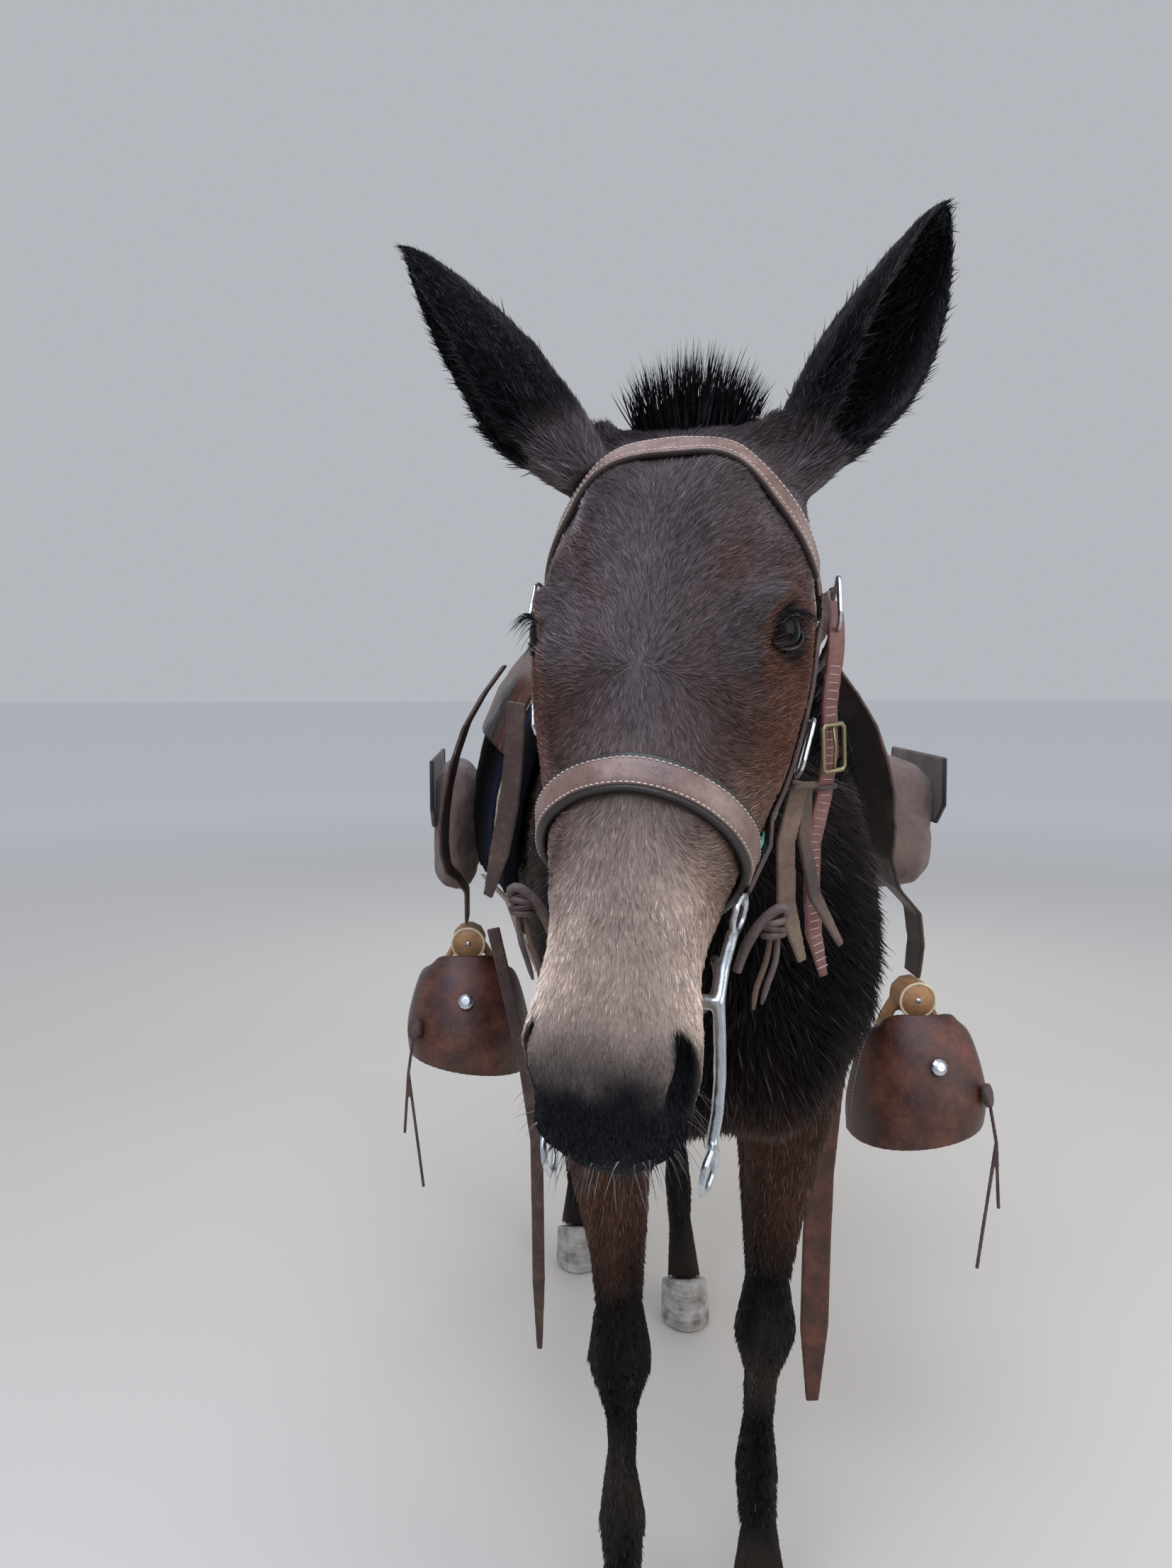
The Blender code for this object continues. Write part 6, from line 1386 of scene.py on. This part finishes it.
# the noseband's laces: a bent loop, a knot of three turns and two hanging ends
tie = {
    "loop": ((-0.026, 0.004, -0.034), (-0.020, 0.001, -0.014), (-0.010, -0.003, 0.004), (0.002, -0.004, 0.015),
             (0.009, -0.002, 0.013), (0.007, 0.002, 0.004)),
    "turns": ((-0.0045, 0.0072, 0.10), (0.0, 0.0082, -0.16), (0.0048, 0.0070, 0.22)),
    "ends": (((-0.002, 0, -0.004), (-0.005, -0.001, -0.024), (-0.012, 0, -0.046), (-0.014, 0, -0.062)),
             ((0.003, 0, -0.004), (0.002, -0.001, -0.024), (-0.004, 0, -0.044), (-0.008, 0, -0.058))),
}
for name, side in sides:
    low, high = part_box(f"tie_{name}")
    knot = np.array((high.x - 0.013 if side > 0 else low.x + 0.013, (low.y + high.y) / 2, high.z - 0.020))
    flip = (side, 1, 1)
    thick = [0.0030 + 0.0012 * math.sin(math.pi * (k + 2) / 25) for k in range(22)]
    roundBar(f"tie_{name}_loop", along3d(knot + np.array(tie["loop"]) * flip, 22), thick, "plait", "dark_leather",
             f"tie_{name}")
    for number, (level, wide, tip) in enumerate(tie["turns"]):
        turns = [(wide * math.cos(a), 0.0055 * math.sin(a) - 0.001, level + tip * wide * math.cos(a))
                 for a in np.linspace(0, 2 * math.pi, 17)[:-1]]
        roundBar(f"tie_{name}_turn_{number + 1}", knot + np.array(turns) * flip, 0.0027,
                 "dark" if number == 1 else "plait", "dark_leather", closed=True)
    for number, spots in enumerate(tie["ends"]):
        roundBar(f"tie_{name}_end_{number + 1}", along3d(knot + np.array(spots) * flip, 12),
                 [0.0022] * 10 + [0.0018, 0.0010], ("latigo", "plait")[number], "dark_leather")


def middleLine(name):
    # a hanging strap's middle, from its solid's rings
    places = placesOf(nodes[name])
    places = places[np.argsort(-places[:, 2])]
    breaks = np.nonzero(np.diff(-places[:, 2]) > 0.008)[0] + 1
    return np.array([part.mean(0) for part in np.split(places, breaks)])


square = ((-1, -1), (1, -1), (1, 1), (-1, 1))


def octagon(cut):
    return ((-1, -cut), (-0.8, -1), (0.8, -1), (1, -cut), (1, cut), (0.8, 1), (-0.8, 1), (-1, cut))


# the oxblood strap's cross seams, its buckle and the keeper below it
rings = middleLine("strap_end_left_rear")
flat = np.array((0.507, -0.862, 0.0))
fall = runOf(rings)
spots = np.arange(0.006, fall[-1] - 0.004, 0.0065)
places = between(spots, fall, rings)
ways = unit(between(spots + 0.002, fall, rings) - between(spots - 0.002, fall, rings))
crossways = unit(np.cross(ways, flat))
capsules("strap_end_left_rear_seams", places + flat * 0.0018, crossways, np.tile(flat, (len(places), 1)),
         0.0135, 0.00035, "thread", "leather")
at = int(np.argmin(np.abs(places[:, 2] - 1.262 - bodyPlace[2])))
centre, down, wide = places[at] + flat * 0.0040, ways[at], crossways[at]
outline = [centre + wide * (0.0118 * a) + down * (0.0185 * b) for a, b in octagon(0.85)]
roundBar("buckle_hanging_frame", outline, 0.0019, "brass", "steel", closed=True)
tongue = [centre - down * 0.018, centre + flat * 0.002, centre + down * 0.0178]
roundBar("buckle_hanging_tongue", tongue, 0.0012, "brass", "steel")
# its upper end runs up behind the cheek strap
lifts = ((-0.006, 0.0003), (0.010, 0.0), (0.028, -0.003), (0.046, -0.008))
build = bmesh.new()
last = None
for spot in along3d([rings[0] - ways[0] * s + flat * b for s, b in lifts], 12):
    corners = [build.verts.new(Vector(spot + crossways[0] * (0.0085 * a) + flat * (0.0016 * b))) for a, b in square]
    if last:
        for k in range(4):
            build.faces.new((last[k], last[(k + 1) % 4], corners[(k + 1) % 4], corners[k]))
    else:
        build.faces.new(corners[::-1])
    last = corners
build.faces.new(last)
bmesh.ops.recalc_face_normals(build, faces=build.faces)
bevelled(build, [e for e in build.edges if e.calc_face_angle(0) > 0.8], 0.0006)
dressed(meshFrom("strap_end_left_rear_upper", build), "oxblood", "leather")
keeper = [places[at + 5] + wide * (0.0088 * a) + flat * (0.0028 * b) for a, b in square]
roundBar("buckle_hanging_keeper", keeper, 0.0022, "dark", "dark_leather", closed=True)
# a keeper of folded leather holds the front and middle ends below the cheek buckle
for name, finish in (("front", "latigo"), ("middle", "dark")):
    rings = middleLine(f"strap_end_left_{name}")
    top = rings[0]
    drop = unit(rings[min(3, len(rings) - 1)] - top)
    spread = placesOf(nodes[f"strap_end_left_{name}"])
    spread = spread[spread[:, 2] > top[2] - 0.010]
    away = unit(np.cross(drop, flat))
    wide = np.ptp(spread @ away) / 2
    middle = (spread @ away).max() - wide - top @ away
    ring = [top + drop * 0.004 + away * (middle + (wide + 0.0016) * a) + flat * (0.0040 * b) for a, b in octagon(0.7)]
    roundBar(f"strap_end_left_{name}_keeper", ring, 0.0024, finish, "dark_leather", closed=True)
print("straps, steel and saddle done")

# The hoods over the stirrups: one bowed sheet of leather with a rolled edge and a stitched seam down the side

hood = {
    "rows": ((0.185, 0.060, 0.055), (0.150, 0.082, 0.085), (0.090, 0.100, 0.110), (0.045, 0.108, 0.125),
             (0.0, 0.104, 0.118)),
    "thick": 0.005, "slant": 0.016, "droop": 0.034, "levels": 26, "columns": 41, "voxel": 0.0018,
    "stitchPitch": 0.0052, "stitchLength": 0.0036, "stitchRadius": 0.0006, "disc": (0.0285, 0.0268, 0.0040),
}
for name, side in sides:
    low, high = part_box(f"tapadero_{name}")
    table, columns = np.array(hood["rows"]), hood["columns"]
    tall = table[0, 0]
    x, y, z = (low.x + high.x) / 2, high.y, high.z - tall
    rows = between(np.linspace(0, 1, hood["levels"]), np.linspace(0, 1, len(table)), table)
    rows = smoothAlong(rows, False, 8)
    rows[0], rows[-1] = table[0], table[-1]

    def onWall(half, reach, a, height):
        return x + half * math.cos(a), y - reach * math.sin(a) ** 0.78, z + height

    points = []
    for less in (0.0, hood["thick"]):
        for row, (up, half, reach) in enumerate(rows):
            for a in np.radians(np.linspace(0, 180, columns)):
                droop = hood["droop"] * (1 - math.sin(a)) ** 2 * max(0, 1 - row / 9) ** 2
                lean = side * hood["slant"] * (tall - up) / tall * math.cos(a)
                points.append(onWall(half - less, reach - less, a, up - droop + lean))
    total, shape = len(points) // 2, []
    for i in range(len(rows) - 1):
        for k in range(columns - 1):
            a, b = i * columns + k, (i + 1) * columns + k
            shape += [(a, a + 1, b + 1, b), (total + a, total + b, total + b + 1, total + a + 1)]
        for k in (0, columns - 1):
            a, b = i * columns + k, (i + 1) * columns + k
            shape.append((a, b, total + b, total + a))
    for k in range(columns - 1):
        for i in (0, len(rows) - 1):
            a = i * columns + k
            shape.append((a, a + 1, total + a + 1, total + a))
    made = thinned(remeshed(meshOf(f"tapadero_{name}_piece", points, shape), hood["voxel"], 5), 0.20)
    dressed(made, "saddle", "leather", f"tapadero_{name}")
    # stitches a centimetre in from the rear edges, each settled on the hood
    tree, settled = treeOf(made), []
    for a in np.radians((9, 171)):
        for up in np.arange(0.022, 0.160, hood["stitchPitch"]):
            half, reach = (np.interp(up, table[::-1, 0], table[::-1, k]) + 0.0005 for k in (1, 2))
            settled.append(tree.find_nearest(Vector(onWall(half, reach, a, up)))[:2])
    capsules(f"tapadero_{name}_stitches", [spot + way * 0.0001 for spot, way in settled], [(0, 0, 1)] * len(settled),
             [Vector((way.x, way.y, 0)) for spot, way in settled], hood["stitchLength"], hood["stitchRadius"],
             "thread", "leather")
    # the turned disc on the stirrup's top, with its screw
    middle = Vector((x, y - 0.016, z + 0.196))
    facing = Matrix.Translation(middle) @ Matrix.Rotation(math.pi / 2, 4, "X")
    broad, narrow, deep = hood["disc"]
    build = bmesh.new()
    bmesh.ops.create_cone(build, cap_ends=True, segments=40, radius1=broad, radius2=narrow, depth=deep, matrix=facing)
    dressed(meshFrom(f"stirrup_{name}_disc", build), "rawhide", "stirrup_wood")
    turned = [middle + Vector((0.0275 * math.cos(a), -0.0012, 0.0275 * math.sin(a)))
              for a in np.linspace(0, 2 * math.pi, 49)[:-1]]
    roundBar(f"stirrup_{name}_rim", turned, 0.0020, "ivory", "stirrup_wood", closed=True)
    build = bmesh.new()
    domed = facing @ Matrix.Translation((0, 0, 0.0018)) @ Matrix.Scale(0.45, 4, (0, 0, 1))
    bmesh.ops.create_uvsphere(build, u_segments=20, v_segments=10, radius=0.0050, matrix=domed)
    dressed(meshFrom(f"stirrup_{name}_screw", build), "steel", "steel")
print("stirrups done")

# Pad and bags: cloth forms blown up softly against their own seams

soft = {"voxel": 0.0055, "pressure": 4.0, "frames": 20, "quality": 6, "mass": 0.3, "stiffness": 15}


def puffed(node, finish, slot, cap):
    made = remeshed(copyOf(node, f"{node}_piece"), soft["voxel"], 3)
    before = placesOf(made)
    cloth = made.modifiers.new("cloth", "CLOTH")
    cloth.settings.quality, cloth.settings.mass = soft["quality"], soft["mass"]
    cloth.settings.use_pressure, cloth.settings.uniform_pressure_force = True, soft["pressure"]
    cloth.settings.effector_weights.gravity = 0
    cloth.settings.tension_stiffness = cloth.settings.compression_stiffness = soft["stiffness"]
    cloth.collision_settings.use_collision = False
    for number in range(1, soft["frames"] + 1):
        bpy.context.scene.frame_set(number)
    applied(made)
    bpy.context.scene.frame_set(1)
    shift = placesOf(made) - before
    size = np.linalg.norm(shift, axis=1)
    putPlaces(made, before + shift * np.minimum(1, cap / np.maximum(size, 1e-9))[:, None])
    if node != "saddle_pad":
        finer = made.modifiers.new("finer", "SUBSURF")
        finer.levels = finer.render_levels = 1
        applied(made)
    # slack cloth: shallow folds that run down and outwards
    places, normals = placesOf(made), normalsOf(made)
    folds = 0.0012 * cloud(places * (1, 1, 0.35), 0.022, 31) + 0.0006 * cloud(places, 0.010, 32)
    putPlaces(made, places + normals * folds[:, None])
    thinned(made, 0.40)
    dressed(made, finish, slot, node)
    return made


puffed("saddlebag_left", "canvas", "bag_canvas", 0.006)
puffed("saddlebag_right", "canvas", "bag_canvas", 0.006)
puffed("saddle_pad", "pad", "saddle_pad_wool", 0.002)
print("pad and bags done")

# The flaps' binding, and a black strap with its buckle down each

flap = {
    "inset": 0.003, "bindingRadius": 0.0042, "cut": 0.036, "strap": (0.0028, 0.0250), "buckle": (0.0165, 0.0125, 0.0021),
}
for name, side in sides:
    low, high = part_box(f"bag_flap_{name}")
    face, inset, cut = high.x if side > 0 else low.x, flap["inset"], flap["cut"]
    y0, y1, z0, z1 = low.y + inset, high.y - inset, low.z + inset, high.z - inset
    corners = ((y0 + 0.004, z1), (y0, z0 + 0.034), (y0 + cut, z0), (y1 - cut, z0), (y1, z0 + 0.034), (y1 - 0.004, z1))
    rim = [(face - side * 0.0025, b, c) for b, c in corners]
    roundBar(f"bag_flap_{name}_binding", rim, flap["bindingRadius"], "binding", "bag_canvas")
    middle = (y0 + y1) / 2
    build = bmesh.new()
    spot = Matrix.Translation((face + side * 0.0014, middle, (z0 + z1) / 2 - 0.014))
    bmesh.ops.create_cube(build, size=1, matrix=spot @ Matrix.Diagonal((*flap["strap"], z1 - z0 - 0.004, 1)))
    bevelled(build, build.edges[:], 0.0009)
    dressed(meshFrom(f"bag_strap_{name}", build), "binding", "bag_canvas")
    wide, tall, thick = flap["buckle"]
    loop = [(face + side * 0.0042, middle + b * wide, z0 + 0.034 + c * tall) for b, c in octagon(0.8)]
    roundBar(f"bag_buckle_{name}", loop, thick, "steel", "steel", closed=True)
print("tack done")

# Stage and light

studio = {
    "floor": "#d2ccc4", "farFloorPaintedBright": "#f3f4f6", "fade": (2.5, 9.0), "wall": "#dfe3ea", "skyStrength": 0.62,
    "keyWatts": 150, "fillWatts": 34, "keyTint": "#dfe9ff",
}
build = bmesh.new()
bmesh.ops.create_grid(build, x_segments=1, y_segments=1, size=40)
floor = meshFrom("floor", build)
# the floor turns paler with distance from the middle: painted light far away, where the key light falls off
paving, shader = material("studio_floor_with_painted_far_light", {"Roughness": 0.85})
place = {"Vector": node(paving, "ShaderNodeTexCoord").outputs["Object"]}
distance = node(paving, "ShaderNodeVectorMath", {"operation": "LENGTH"}, links=place)
limits = {"From Min": studio["fade"][0], "From Max": studio["fade"][1]}
metres = node(paving, "ShaderNodeMapRange", {}, limits, {"Value": distance.outputs["Value"]})
tones = ((0.0, solid(studio["floor"])), (1.0, solid(studio["farFloorPaintedBright"])))
tint = node(paving, "ShaderNodeValToRGB", links={"Fac": metres.outputs["Result"]}, stops=tones)
join(paving, shader, {"Base Color": tint.outputs["Color"]})
floor.data.materials.append(paving)
floor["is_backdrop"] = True
world = bpy.data.worlds.new("studio")
bpy.context.scene.world = world
world.use_nodes = True
backdrop = world.node_tree.nodes["Background"]
backdrop.inputs["Color"].default_value = solid(studio["wall"])
backdrop.inputs["Strength"].default_value = studio["skyStrength"]


def softLight(name, place, target, size, watts, tint="#ffffff"):
    lamp = bpy.data.lights.new(name, "AREA")
    lamp.size, lamp.energy, lamp.color = size, watts, linear(tint)
    made = bpy.data.objects.new(name, lamp)
    collection.objects.link(made)
    made.location = place
    made.rotation_euler = (Vector(target) - Vector(place)).to_track_quat("-Z", "Y").to_euler()


softLight("key", (-0.6, -2.0, 3.9), (0, -0.6, 1.1), 3.2, studio["keyWatts"], studio["keyTint"])
softLight("fill", (2.6, -2.0, 2.2), (0, -0.4, 1.0), 2.2, studio["fillWatts"])
softLight("back", (0.6, 3.4, 3.2), (0, 0.4, 1.2), 2.4, studio["fillWatts"])
bpy.context.scene.view_settings.view_transform = "Standard"

bpy.context.view_layer.update()
low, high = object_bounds()
